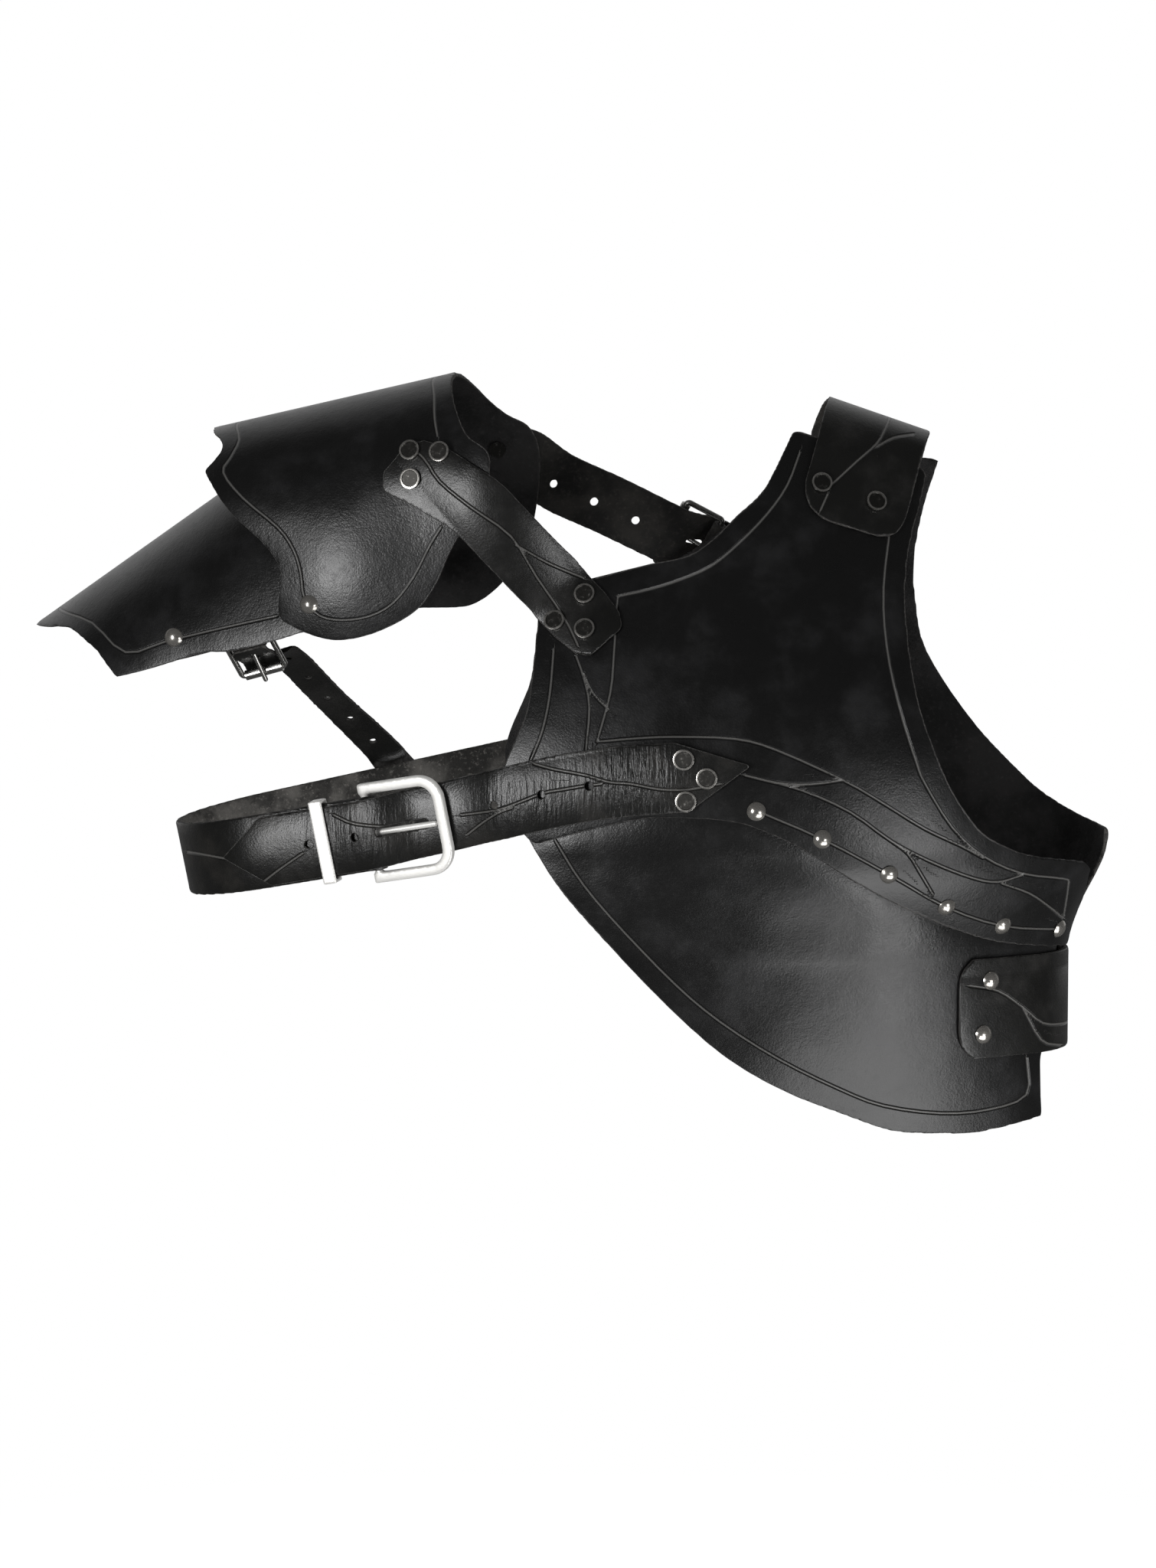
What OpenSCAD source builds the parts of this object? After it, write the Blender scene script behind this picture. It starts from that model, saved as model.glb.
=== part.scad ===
// One-shoulder leather armour: breast and back plates, a pauldron with one lame, straps and buckles.
// Millimetres, +Z up, +X to the wearer's left, -Y to the front, origin under the shoulder strap.

/* [Leather] */
// Thickness of the plates and wide straps
leather_t = 3; // [2:0.1:4]
// Thickness of the straps other than the belt
strap_t = 2.8; // [1.8:0.1:3]
// Thickness of one layer of a folded buckle tab
tab_t = 2.2; // [1.6:0.1:2.6]
// Gap between layers of leather
layer_gap = 0.3; // [0.2:0.05:0.5]

/* [Body form] */
// Front of the chest ahead of the mid plane
chest_depth = 110; // [100:1:125]
// Radius of the front left of the form in plan
side_r = 500; // [440:5:600]
// Radius of the front right of the form in plan
front_r = 318; // [300:1:340]
// Radius of the flank in plan
flank_r = 70; // [66:1:76]
// Distance of the foremost line from the mid plane of the photo frame
front_x = 87; // [80:1:95]
// How far the waist draws in
waist_in = 22; // [16:1:26]

/* [Plates] */
// Polished dome rivets along the waist band: radius
dome_r = 5; // [4:0.25:6]
// Flat rivet caps: radius
cap_r = 5.5; // [4.5:0.25:6.5]
// Rivet shank radius
shank_r = 1.7; // [1.2:0.1:2.2]
// Clearance round a rivet shank in leather
shank_gap = 0.1; // [0.05:0.05:0.2]
// Height of a flat rivet cap
cap_h = 1.2; // [0.8:0.1:1.8]

/* [Pauldron] */
// Radius of the pauldron cap over the shoulder
shoulder_r = 62; // [58:0.5:68]
// Rise of the pauldron cap toward the neck, in degrees
cap_tilt = 12.8; // [8:0.2:16]
// Turn of the pauldron cap in plan, in degrees
cap_yaw = 12; // [6:0.5:16]
// Droop of the lame at rest, in degrees
lame_tilt = 34.6; // [28:0.2:38]
// Height of the lame's crest above its pivots
lame_rise = 83.5; // [78:0.5:88]
// Side play between the cap and the lame
lame_play = 0.3; // [0.2:0.05:0.5]

/* [Waist belt] */
// Width of the belt
belt_w = 40; // [34:1:46]
// Rise of the belt toward the breast plate, in degrees
belt_tilt = 11; // [8:0.5:14]
// Angle at which the belt leaves the form, in degrees
belt_leave = 14.4; // [12:0.2:17]
// Spacing of the belt's holes
belt_hole_step = 25.6; // [24:0.2:27]
// Radius of the belt's holes
belt_hole_r = 2.5; // [2:0.1:3]
// Radius of the heel bar of the belt buckle
belt_bar_r = 2.2; // [1.8:0.1:2.6]
// Length of the belt buckle from heel bar to outer bar
belt_buckle_l = 43; // [38:1:48]
// Thickness of the belt buckle's frame
belt_frame_t = 5; // [4:0.25:6]
// Width of the belt keeper
keeper_w = 7.5; // [6:0.5:9]

/* [Small buckles] */
// Radius of the wire of the roller buckles
wire_r = 1.6; // [1.2:0.1:2]
// Radius of the rollers
roller_r = 2.75; // [2.4:0.05:3.2]
// Length of a roller buckle from heel bar to roller
buckle_l = 22; // [20:0.5:26]
// Height of the roller above the heel bar
buckle_rise = 4; // [3.4:0.2:5]
// Radius of the prongs
prong_r = 1.3; // [1:0.1:1.6]
// Running gap between a bar and what turns on it
bar_gap = 0.08; // [0.04:0.01:0.1]
// Width of the strap ends at the shoulder and side buckles
strap_end_w = 25; // [22:1:30]

/* [Straps] */
// Width of the shoulder strap
shoulder_strap_w = 58; // [50:1:66]
// Width of the side strap
side_strap_w = 54; // [48:1:60]
// Width of the pauldron straps
pauldron_strap_w = 36; // [30:1:42]
// Width of the arm strap
arm_strap_w = 20; // [16:1:24]
// Radius of the adjusting holes
strap_hole_r = 2.4; // [2:0.1:3]

/* [Hidden] */
$fn = 48;

// Point under the crest of the shoulder strap, which is the part's origin
rest_at = [164, 0, 200];

// Colours
black_leather = "#1c1b1b";
dark_rivet = "#4a4846";
bright_rivet = "#b9b9b6";
nickel = "#c9c8c4";

// Lean of the chest above the band: square law up to chest_knee, then straight
chest_curve = 0.003;
chest_knee = 77;
// Heights between which the waist draws in
waist_from = 28;
waist_to = 88;
form_top = 205;
form_low = 200;
waist_steps = 8;
chest_steps = 7;

// Arc of the flank meets the front arc on this direction
seam_turn = acos((front_r - chest_depth) / (front_r - flank_r));
flank_x = front_x + (front_r - flank_r) * sin(seam_turn);
left_span = 26;
flank_top = 6;

function smooth(u) = let (v = min(max(u, 0), 1)) v * v * (3 - 2 * v);
function mix(a, b, u) = a + (b - a) * u;
function unit(v) = v / norm(v);

// How far the form lies inside its foremost size at height z, and its slope there
function form_in(z) = z > chest_knee ? chest_curve * chest_knee * (2 * z - chest_knee)
    : z > 0 ? chest_curve * z * z
    : waist_in * smooth((-z - waist_from) / (waist_to - waist_from));
function form_slope(z) = (form_in(z + 1) - form_in(z - 1)) / 2;

// Rotations of a vector, in the order that rotate() uses
function turn_x(v, a) = [v.x, v.y * cos(a) - v.z * sin(a), v.y * sin(a) + v.z * cos(a)];
function turn_y(v, a) = [v.x * cos(a) + v.z * sin(a), v.y, -v.x * sin(a) + v.z * cos(a)];
function turn_z(v, a) = [v.x * cos(a) - v.y * sin(a), v.x * sin(a) + v.y * cos(a), v.z];
function turn(v, r) = turn_z(turn_y(turn_x(v, r.x), r.y), r.z);

// Arc of the form that holds a point at x and height z: centre x, centre y, radius
function seam_x(z) = front_x + (front_r - form_in(z)) * sin(seam_turn);
function form_arc(x, z) = x < front_x ? [front_x, side_r - chest_depth, side_r]
    : x < seam_x(z) ? [front_x, front_r - chest_depth, front_r]
    : [flank_x, 0, flank_r];
function form_turn(x, z) = let (c = form_arc(x, z))
    asin(min(max((x - c.x) / (c.z - form_in(z)), -1), 1));
// Point at a given depth over the surface, at the front or at the back
function form_point(x, z, off, back) = let (c = form_arc(x, z), a = form_turn(x, z),
    r = c.z - form_in(z) + off, y = c.y - r * cos(a)) [c.x + r * sin(a), back ? -y : y, z];
function form_rotation(x, z, back) = [90 - atan(form_slope(z)), 0,
    back ? 180 - form_turn(x, z) : form_turn(x, z)];
// Point given in the frame of on_form
function from_form(x, z, off, back, p) = form_point(x, z, 0, back)
    + turn(p + [0, 0, off], form_rotation(x, z, back));

// Child's +Z is the outward normal of the form, its +Y points up
module on_form(x, z, off = 0, back = false) {
    translate(form_point(x, z, 0, back)) rotate(form_rotation(x, z, back)) translate([0, 0,
        off]) children();
}

// The whole part in its own frame, from the frame in which it is laid out
module worn() { translate(-rest_at) children(); }

function from_cap(p) = cap_at + turn(p, [0, -cap_tilt, -cap_yaw]);
function from_lame(p) = pivot_at + turn(p, [0, -lame_tilt, -cap_yaw]);

// Smooth line through points, with n steps between two of them
function spline_at(p, i, u) = let (a = p[max(i - 1, 0)], b = p[i], c = p[i + 1], d = p[min(i + 2,
    len(p) - 1)])
    0.5 * (2 * b + (c - a) * u + (2 * a - 5 * b + 4 * c - d) * u * u + (3 * b - a - 3 * c + d) * u * u * u);
function spline(p, n = 4) = concat(
    [for (i = [0:len(p) - 2], k = [0:n - 1]) spline_at(p, i, k / n)], [p[len(p) - 1]]);

// Closed sheet between two grids of points with equal rows and columns
module sheet(outer, inner) {
    rows = len(outer);
    cols = len(outer[0]);
    n = rows * cols;
    function at(i, j) = i * cols + j;
    function quad(a, b, c, d) = [[a, b, c], [a, c, d]];
    points = concat([for (r = outer) for (p = r) p], [for (r = inner) for (p = r) p]);
    faces = concat(
        [for (i = [0:rows - 2], j = [0:cols - 2])
            for (t = quad(at(i, j), at(i, j + 1), at(i + 1, j + 1), at(i + 1, j))) t],
        [for (i = [0:rows - 2], j = [0:cols - 2])
            for (t = quad(n + at(i, j), n + at(i + 1, j), n + at(i + 1, j + 1), n + at(i, j + 1))) t],
        [for (i = [0:rows - 2])
            for (t = quad(at(i, 0), at(i + 1, 0), n + at(i + 1, 0), n + at(i, 0))) t],
        [for (i = [0:rows - 2])
            for (t = quad(at(i + 1, cols - 1), at(i, cols - 1), n + at(i, cols - 1), n + at(i + 1,
                cols - 1))) t],
        [for (j = [0:cols - 2])
            for (t = quad(at(0, j + 1), at(0, j), n + at(0, j), n + at(0, j + 1))) t],
        [for (j = [0:cols - 2])
            for (t = quad(at(rows - 1, j), at(rows - 1, j + 1), n + at(rows - 1, j + 1), n
                + at(rows - 1, j))) t]
    );
    polyhedron(points, faces);
}

// Stations of a strap are [centre, direction across, outward normal, half width]
function flow(s, n = 4) = let (c = spline([for (t = s) t[0]], n)) concat(
    [for (i = [0:len(s) - 2], k = [0:n - 1]) [c[i * n + k],
        unit(mix(s[i][1], s[i + 1][1], smooth(k / n))),
        unit(mix(s[i][2], s[i + 1][2], smooth(k / n))),
        mix(s[i][3], s[i + 1][3], k / n),
        mix(curl(s[i]), curl(s[i + 1]), smooth(k / n))]],
    [s[len(s) - 1]]);
// A fifth value bends a strap across: one over the radius of what it lies on
function curl(station) = len(station) > 4 ? station[4] : 0;
function sag(s, k) = s[2] * curl(s) * pow(s[3] * k, 2) / 2;
module strap(stations, t) {
    along = stations[1][0] - stations[0][0];
    hand = cross(along, stations[0][1]) * stations[0][2] > 0 ? 1 : -1;
    across = [for (k = [-1, -0.5, 0, 0.5, 1]) hand * k];
    sheet(
        [for (s = stations) [for (k = across) s[0] + s[1] * s[3] * k + s[2] * t / 2 - sag(s, k)]],
        [for (s = stations) [for (k = across) s[0] + s[1] * s[3] * k - s[2] * t / 2 - sag(s, k)]]
    );
}

// Layer of the form between two offsets, up to an angle round the flank
module form_layer(off_in, off_out, flank_to) {
    z_waist = [for (k = [0:waist_steps]) mix(-waist_to, -waist_from, k / waist_steps)];
    z_chest = [for (k = [0:chest_steps]) chest_knee * k / chest_steps];
    z_of = concat([-form_low], z_waist, z_chest, [form_top]);
    z_low = concat([-form_low], z_waist, [0, flank_top]);
    function band(r, zs) = concat(
        [for (z = zs) [r - form_in(z) + off_out, z]],
        [for (k = [len(zs) - 1:-1:0]) [r - form_in(zs[k]) + off_in, zs[k]]]);
    translate([front_x, side_r - chest_depth, 0]) rotate(-90 - left_span)
        rotate_extrude(angle = left_span, $fn = 90) polygon(band(side_r, z_of));
    translate([front_x, front_r - chest_depth, 0]) rotate(-90)
        rotate_extrude(angle = seam_turn, $fn = 90) polygon(band(front_r, z_of));
    translate([flank_x, 0, 0]) rotate(-90 + seam_turn - flank_lap)
        rotate_extrude(angle = flank_to - seam_turn + flank_lap, $fn = 90) polygon(band(flank_r, z_low));
}

// The flank laps the front by this angle, so that the two fuse
flank_lap = 0.1;

// Prism toward the front over an outline drawn in X and Z
module front_prism(outline, depth = 200) {
    rotate([90, 0, 0]) linear_extrude(depth) polygon(outline);
}
module back_prism(outline) { mirror([0, 1, 0]) front_prism(outline); }

// Outlines of the plates in X and Z, seen from the front
neck_edge = [[116, 195], [109, 181], [99, 163], [86, 151], [71, 137], [58, 129], [39, 125], [7, 117],
    [-12, 112]];
wing_edge = [[-21, 104], [-22, 90], [-26, 53], [-31, 38], [-39, 19], [-41, 4], [-33, -12], [-23, -22]];
band_edge = [[8, -13], [36, -7], [62, -7], [88, -10], [118, -23], [149, -43], [171, -56], [199, -70],
    [226, -80], [255, -85], [268, -87]];
armhole_edge = [[278, -43], [272, -37], [245, -32], [231, -27], [217, -19], [209, -10], [199, 5], [190, 25],
    [181, 51], [176, 82], [175, 112], [178, 135], [185, 158], [188, 171]];
breast_outline = concat(spline(neck_edge, 3), spline(wing_edge, 3), spline(band_edge, 3), [[276, -59]],
    spline(armhole_edge, 3), [[184, 176]]);

belly_hem = [[-26, -20], [-8, -49], [19, -81], [50, -113], [80, -139], [111, -157], [140, -169], [169,
    -180],
    [194, -183], [219, -184], [253, -179]];
belly_top = [[262, -62], [229, -57], [197, -44], [165, -24], [129, -3], [94, 8], [75, 9.5], [60, 9.5],
    [40, 7], [20, 3], [0, -3]];
belly_outline = concat(spline(belly_hem, 3), [[252, -148], [261, -100]], spline(belly_top, 3));

// The back plates reach round the flank, past these outlines
past_flank = 300;
back_neck = [[118, 186], [108, 166], [96, 150], [80, 136], [60, 122], [40, 114], [10, 104], [-14, 98]];
back_armhole = [[291, -25], [277, -20], [261, -11], [248, 0], [225, 24], [204, 53], [193, 74], [189, 94],
    [187, 112], [188, 133], [192, 155], [198, 177]];
upper_back_outline = concat(spline(back_neck, 3), spline([for (k = [1:7]) wing_edge[k]], 3),
    spline([for (k = [0:9]) band_edge[k]], 3), [[past_flank, -85], [past_flank, -27]],
    spline(back_armhole, 3));
// The hem rises behind the side strap
lower_back_outline = concat(spline([for (k = [0:8]) belly_hem[k]], 3),
    [[216, -172], [238, -147], [past_flank, -140], [past_flank, -60]], spline(belly_top, 3));

// How far round the flank each plate may reach, in degrees from straight ahead
front_reach = 80;
upper_back_reach = 87;
lower_back_reach = 76;

// Offsets of the layers over the form
under_in = -2 * leather_t - layer_gap;
under_out = -leather_t - layer_gap;

// Places of the rivets, in X and Z
// The last rivet of the band stands this far inside the widest line of the flank
band_end_in = 10.4;
band_end_z = -76;
band_end_x = flank_x + flank_r - form_in(band_end_z) - band_end_in;
band_rivets = [[94, -3], [129, -18], [165, -38], [197, -58], [229, -71], [band_end_x, band_end_z]];
shoulder_rivets = [[130, 166], [159, 156]];
front_strap_rivets = [[4, 108], [-12, 94], [4, 90]];

hole_r = shank_r + shank_gap;
module shank_holes(places, back = false) {
    for (p = places) on_form(p.x, p.y, 0, back) cylinder(r = hole_r, h = 40, center = true);
}

// Rivets stand with the outer leather face at z = 0; grip is the leather they hold
module dome(r, h) {
    ball = (r * r + h * h) / (2 * h);
    intersection() {
        translate([0, 0, h - ball]) sphere(r = ball);
        cylinder(r = r, h = h);
    }
}
module rivet_back(grip) {
    translate([0, 0, -grip - layer_gap - cap_h]) cylinder(r = cap_r - 1, h = cap_h);
    translate([0, 0, -grip - layer_gap]) cylinder(r = shank_r, h = grip + 2 * layer_gap);
}
module flat_rivet(grip) {
    color(dark_rivet) {
        translate([0, 0, layer_gap]) cylinder(r = cap_r, h = cap_h);
        rivet_back(grip);
    }
}
module dome_rivet(grip) {
    color(bright_rivet) {
        translate([0, 0, layer_gap]) dome(dome_r, dome_r / 2);
        rivet_back(grip);
    }
}

module breast_plate() {
    color(black_leather) worn() difference() {
        intersection() {
            form_layer(-leather_t, 0, front_reach);
            front_prism(breast_outline);
        }
        shank_holes(concat(band_rivets, shoulder_rivets, front_strap_rivets));
        tongue_rivet_holes();
    }
}
module belly_plate() {
    color(black_leather) worn() difference() {
        intersection() {
            form_layer(under_in, under_out, front_reach);
            front_prism(belly_outline);
        }
        shank_holes(concat(band_rivets, side_rivets));
        tongue_rivet_holes();
    }
}
module upper_back_plate() {
    color(black_leather) worn() difference() {
        intersection() {
            mirror([0, 1, 0]) form_layer(-leather_t, 0, upper_back_reach);
            back_prism(upper_back_outline);
        }
        shank_holes(band_rivets, back = true);
        tab_holes(shoulder_buckle, strap_end_w);
        tab_holes(neck_buckle, pauldron_strap_w);
        belt_root_holes();
    }
}
module lower_back_plate() {
    color(black_leather) worn() difference() {
        intersection() {
            mirror([0, 1, 0]) form_layer(under_in, under_out, lower_back_reach);
            back_prism(lower_back_outline);
        }
        shank_holes(band_rivets, back = true);
        tab_holes(side_buckle, strap_end_w);
        belt_root_holes();
    }
}
module front_band_rivets() {
    worn() for (p = band_rivets) on_form(p.x, p.y) dome_rivet(2 * leather_t + 2 * layer_gap);
}
module back_band_rivets() {
    worn() for (p = band_rivets) on_form(p.x, p.y, 0, true) dome_rivet(2 * leather_t + 2 * layer_gap);
}

// A roller buckle stands with its heel bar along Y at the origin, +X toward the roller, +Z outward
fold_r = wire_r + bar_gap + tab_t;
tab_l = 38;
tab_top = 2 * tab_t - fold_r;
tab_seat = 0.7;
keeper_t = 1.6;
loop_l = 8;
loop_at = -22;
tip_at = -44;
tab_rivet_at = -32;
roller_gap = 0.3;
wire_bend = wire_r + roller_gap;
arm_gap = 0.9;
under_roller = buckle_rise - roller_r - layer_gap - strap_t / 2;
over_fold = fold_r + layer_gap + strap_t / 2;
over_tab = tab_top + keeper_t + 2 * layer_gap + strap_t / 2;
frame_slope = atan(buckle_rise / buckle_l);
prong_slope = atan((buckle_rise + roller_r + prong_r + 0.25) / buckle_l);

// Buckles on the form: x, z, offset of the leather under the tab, direction of +X
shoulder_buckle = [150, 108, 0, 90];
side_buckle = [166, -116, under_out, 180];
neck_buckle = [72, 122.5, 0, 26];
function buckle_off(b) = b[2] + fold_r + tab_seat;
function from_buckle(b, p) = from_form(b.x, b.y, buckle_off(b), true, turn_z(p, b[3]));
function along_buckle(b, v) = turn(turn_z(v, b[3]), form_rotation(b.x, b.y, true));
module on_buckle(b) { on_form(b.x, b.y, buckle_off(b), true) rotate(b[3]) children(); }

// Bent wire: two bars along Y and two sides, with a bend at each corner
module roller_frame(w) {
    half = w / 2 + arm_gap + wire_r;
    reach = norm([buckle_l, buckle_rise]);
    color(nickel) rotate([0, -frame_slope, 0]) {
        for (x = [0, reach]) translate([x, 0, 0]) rotate([90, 0, 0])
            cylinder(r = wire_r, h = 2 * (half - wire_bend), center = true);
        for (y = [-half, half]) translate([wire_bend, y, 0]) rotate([0, 90, 0])
            cylinder(r = wire_r, h = reach - 2 * wire_bend);
        for (x = [wire_bend, reach - wire_bend]) for (y = [wire_bend - half, half - wire_bend])
            translate([x, y, 0]) rotate(x > wire_bend ? (y > 0 ? 0 : -90) : (y > 0 ? 90 : 180))
                rotate_extrude(angle = 90, $fn = 48) translate([wire_bend, 0]) circle(r = wire_r, $fn = 32);
    }
}
module buckle_roller(w) {
    color(nickel) translate([buckle_l, 0, buckle_rise]) rotate([90, 0, 0]) difference() {
        cylinder(r = roller_r, h = w + 2 * (arm_gap - roller_gap), center = true);
        cylinder(r = wire_r + bar_gap, h = 2 * w, center = true);
    }
}
module buckle_prong() {
    reach = (buckle_l + 1.5) / cos(prong_slope);
    color(nickel) difference() {
        union() {
            rotate([90, 0, 0]) cylinder(r = wire_r + bar_gap + 1.2, h = 2 * prong_r, center = true);
            rotate([0, 90 - prong_slope, 0]) cylinder(r = prong_r, h = reach);
            rotate([0, 90 - prong_slope, 0]) translate([0, 0, reach]) sphere(r = prong_r);
        }
        rotate([90, 0, 0]) cylinder(r = wire_r + bar_gap, h = 20, center = true);
    }
}
module buckle_tab(w) {
    slot = prong_r + 0.4;
    tab_w = w - 1;
    color(black_leather) difference() {
        union() {
            rotate([90, 0, 0]) cylinder(r = fold_r, h = tab_w, center = true);
            translate([-tab_l, -tab_w / 2, -fold_r]) cube([tab_l, tab_w, 2 * tab_t]);
        }
        rotate([90, 0, 0]) cylinder(r = wire_r + bar_gap, h = 2 * w, center = true);
        translate([-fold_r - 2, -slot, -20]) cube([40, 2 * slot, 40]);
        tab_shanks(w);
    }
}
module tab_shanks(w) {
    for (y = [-w / 4, w / 4]) translate([tab_rivet_at, y, 0]) cylinder(r = hole_r, h = 40, center = true);
}
module tab_holes(b, w) { on_buckle(b) tab_shanks(w); }
module tab_rivets(w, grip) {
    for (y = [-w / 4, w / 4]) translate([tab_rivet_at, y, tab_top]) color(dark_rivet) {
        cylinder(r = 4, h = cap_h);
        translate([0, 0, -grip]) cylinder(r = shank_r, h = grip);
        translate([0, 0, -grip - cap_h]) cylinder(r = 4, h = cap_h);
    }
}
tab_grip = 2 * tab_t + tab_seat + leather_t + 1.6;
module strap_keeper(w) {
    inside = w + 2 * layer_gap + 0.4;
    rise = strap_t + 2 * layer_gap;
    color(black_leather) translate([loop_at, 0, tab_top]) difference() {
        translate([0, -inside / 2 - keeper_t, 0]) cube([loop_l, inside + 2 * keeper_t, rise
            + 2 * keeper_t]);
        translate([-1, -inside / 2, keeper_t]) cube([loop_l + 2, inside, rise]);
    }
}
// Buckled strap end: [along, height, share of the width]
buckled_end = [[tip_at, over_tab, 0.3], [tip_at + 3, over_tab, 0.75], [tip_at + 9, over_tab, 1],
    [loop_at + loop_l + 2, over_tab, 1], [-5, over_fold, 1], [2.4, over_fold, 1],
    [buckle_l - 6, under_roller, 1], [buckle_l + 6, under_roller - 0.4, 1]];
module prong_slot() { translate([2.4, -prong_r - 0.4, -8]) cube([10.4, 2 * prong_r + 0.8, 20]); }
function buckled(b, w) = [for (s = buckled_end)
    [from_buckle(b, [s[0], 0, s[1]]), along_buckle(b, [0, 1, 0]), along_buckle(b, [0, 0, 1]),
        s[2] * w / 2]];

// Station of a strap that lies on the form, its width turned by a in the surface
function on_form_station(x, z, off, back, a, half) = let (r = form_rotation(x, z, back))
    [from_form(x, z, off, back, [0, 0, 0]), turn([cos(a), sin(a), 0], r), turn([0, 0, 1], r), half,
        pow(cos(a), 2) / (form_arc(x, z).z - form_in(z))];
function flank_station(a, z, off, half) = let (r = flank_r - form_in(z) + off)
    [[flank_x + r * sin(a), -r * cos(a), z], [0, 0, 1], [sin(a), -cos(a), 0], half];

strap_off = layer_gap + strap_t / 2;
crest_slope = 19;
shoulder_half = shoulder_strap_w / 2;
shoulder_front = [
    on_form_station(146.6, 142.6, strap_off, false, -crest_slope, shoulder_half * 0.42),
    on_form_station(146.8, 144, strap_off, false, -crest_slope, shoulder_half * 0.64),
    on_form_station(147.3, 147.5, strap_off, false, -crest_slope, shoulder_half * 0.84),
    on_form_station(148, 153, strap_off, false, -crest_slope, shoulder_half * 0.95),
    on_form_station(149.5, 160, strap_off, false, -crest_slope, shoulder_half),
    on_form_station(152, 168, strap_off, false, -crest_slope, shoulder_half),
    on_form_station(156, 182, strap_off + 0.6, false, -crest_slope, shoulder_half)];
shoulder_crest = [for (y = [-20, 0, 20])
    [[164 - abs(y) * 0.15, y, rest_at.z + strap_t / 2 - abs(y) * 0.23],
        [cos(crest_slope), 0, -sin(crest_slope)],
        unit([sin(crest_slope), y / 30, cos(crest_slope)]), shoulder_half]];
shoulder_back = [
    on_form_station(156, 182, strap_off + 0.6, true, 180 + crest_slope, shoulder_half),
    on_form_station(153, 166, strap_off + 0.3, true, 180 + crest_slope / 2, shoulder_half * 0.75)];
function reversed(s) = [for (k = [len(s) - 1:-1:0]) s[k]];
function flipped(s) = [for (t = s) [t[0], -t[1], t[2], t[3]]];

module shoulder_strap() {
    color(black_leather) worn() difference() {
        strap(flow(concat(shoulder_front, shoulder_crest, shoulder_back,
            reversed(buckled(shoulder_buckle, strap_end_w)))), strap_t);
        shank_holes(shoulder_rivets);
        on_buckle(shoulder_buckle) prong_slot();
    }
}
module shoulder_strap_rivets() {
    worn() for (p = shoulder_rivets) on_form(p.x, p.y, strap_t + 2 * layer_gap)
        flat_rivet(strap_t + leather_t + 3 * layer_gap);
}

side_z = -116;
side_half = side_strap_w / 2;
side_off = under_out + layer_gap + strap_t / 2;
side_rivets = [[223, -101], [219, -130]];
side_front = [for (s = [[206, 0.45], [208, 0.75], [214, 1], [224, 1], [238, 1]])
    on_form_station(s.x, side_z, side_off, false, 90, side_half * s.y)];
side_round = [for (a = [40:20:140])
    flank_station(a, side_z, side_off, mix(side_half, strap_end_w / 2, smooth((a - 100) / 60)))];
side_rear = [on_form_station(232, side_z, side_off, true, 90, strap_end_w / 2),
    on_form_station(216, side_z, side_off, true, 90, strap_end_w / 2)];
module side_strap() {
    color(black_leather) worn() difference() {
        strap(flow(concat(side_front, side_round, side_rear,
            reversed(flipped(buckled(side_buckle, strap_end_w))))), strap_t);
        shank_holes(side_rivets);
        on_buckle(side_buckle) prong_slot();
    }
}
module side_strap_rivets() {
    worn() for (p = side_rivets) on_form(p.x, p.y, side_off + strap_t / 2 + layer_gap)
        dome_rivet(strap_t + leather_t + 3 * layer_gap);
}

module shoulder_buckle_tab() { worn() on_buckle(shoulder_buckle) buckle_tab(strap_end_w); }
module shoulder_tab_rivets() { worn() on_buckle(shoulder_buckle) tab_rivets(strap_end_w, tab_grip); }
module shoulder_strap_keeper() { worn() on_buckle(shoulder_buckle) strap_keeper(strap_end_w); }
module shoulder_buckle_frame() { worn() on_buckle(shoulder_buckle) roller_frame(strap_end_w); }
module shoulder_buckle_prong() { worn() on_buckle(shoulder_buckle) buckle_prong(); }
module shoulder_buckle_roller() { worn() on_buckle(shoulder_buckle) buckle_roller(strap_end_w); }

module side_buckle_tab() { worn() on_buckle(side_buckle) buckle_tab(strap_end_w); }
module side_tab_rivets() { worn() on_buckle(side_buckle) tab_rivets(strap_end_w, tab_grip + 2); }
module side_strap_keeper() { worn() on_buckle(side_buckle) strap_keeper(strap_end_w); }
module side_buckle_frame() { worn() on_buckle(side_buckle) roller_frame(strap_end_w); }
module side_buckle_prong() { worn() on_buckle(side_buckle) buckle_prong(); }
module side_buckle_roller() { worn() on_buckle(side_buckle) buckle_roller(strap_end_w); }

module neck_buckle_tab() { worn() on_buckle(neck_buckle) buckle_tab(pauldron_strap_w); }
module neck_tab_rivets() { worn() on_buckle(neck_buckle) tab_rivets(pauldron_strap_w, tab_grip); }
module neck_strap_keeper() { worn() on_buckle(neck_buckle) strap_keeper(pauldron_strap_w); }
module neck_buckle_frame() { worn() on_buckle(neck_buckle) roller_frame(pauldron_strap_w); }
module neck_buckle_prong() { worn() on_buckle(neck_buckle) buckle_prong(); }
module neck_buckle_roller() { worn() on_buckle(neck_buckle) buckle_roller(pauldron_strap_w); }

// The belt is a loop drawn flat in plan, then tilted about its left end
belt_left = -217;
belt_z = -39.5;
belt_apex = belt_left + (front_x - belt_left) / cos(belt_tilt);
belt_r = side_r / pow(cos(belt_tilt), 2);
belt_leave_x = belt_apex - belt_r * sin(belt_leave);
belt_leave_y = belt_r * (1 - cos(belt_leave)) - chest_depth;
loop_reach = (belt_left - belt_leave_x) * sin(belt_leave) - belt_leave_y * cos(belt_leave);
loop_r = loop_reach / (1 - sin(belt_leave));
loop_x = belt_left + loop_r;

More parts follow.
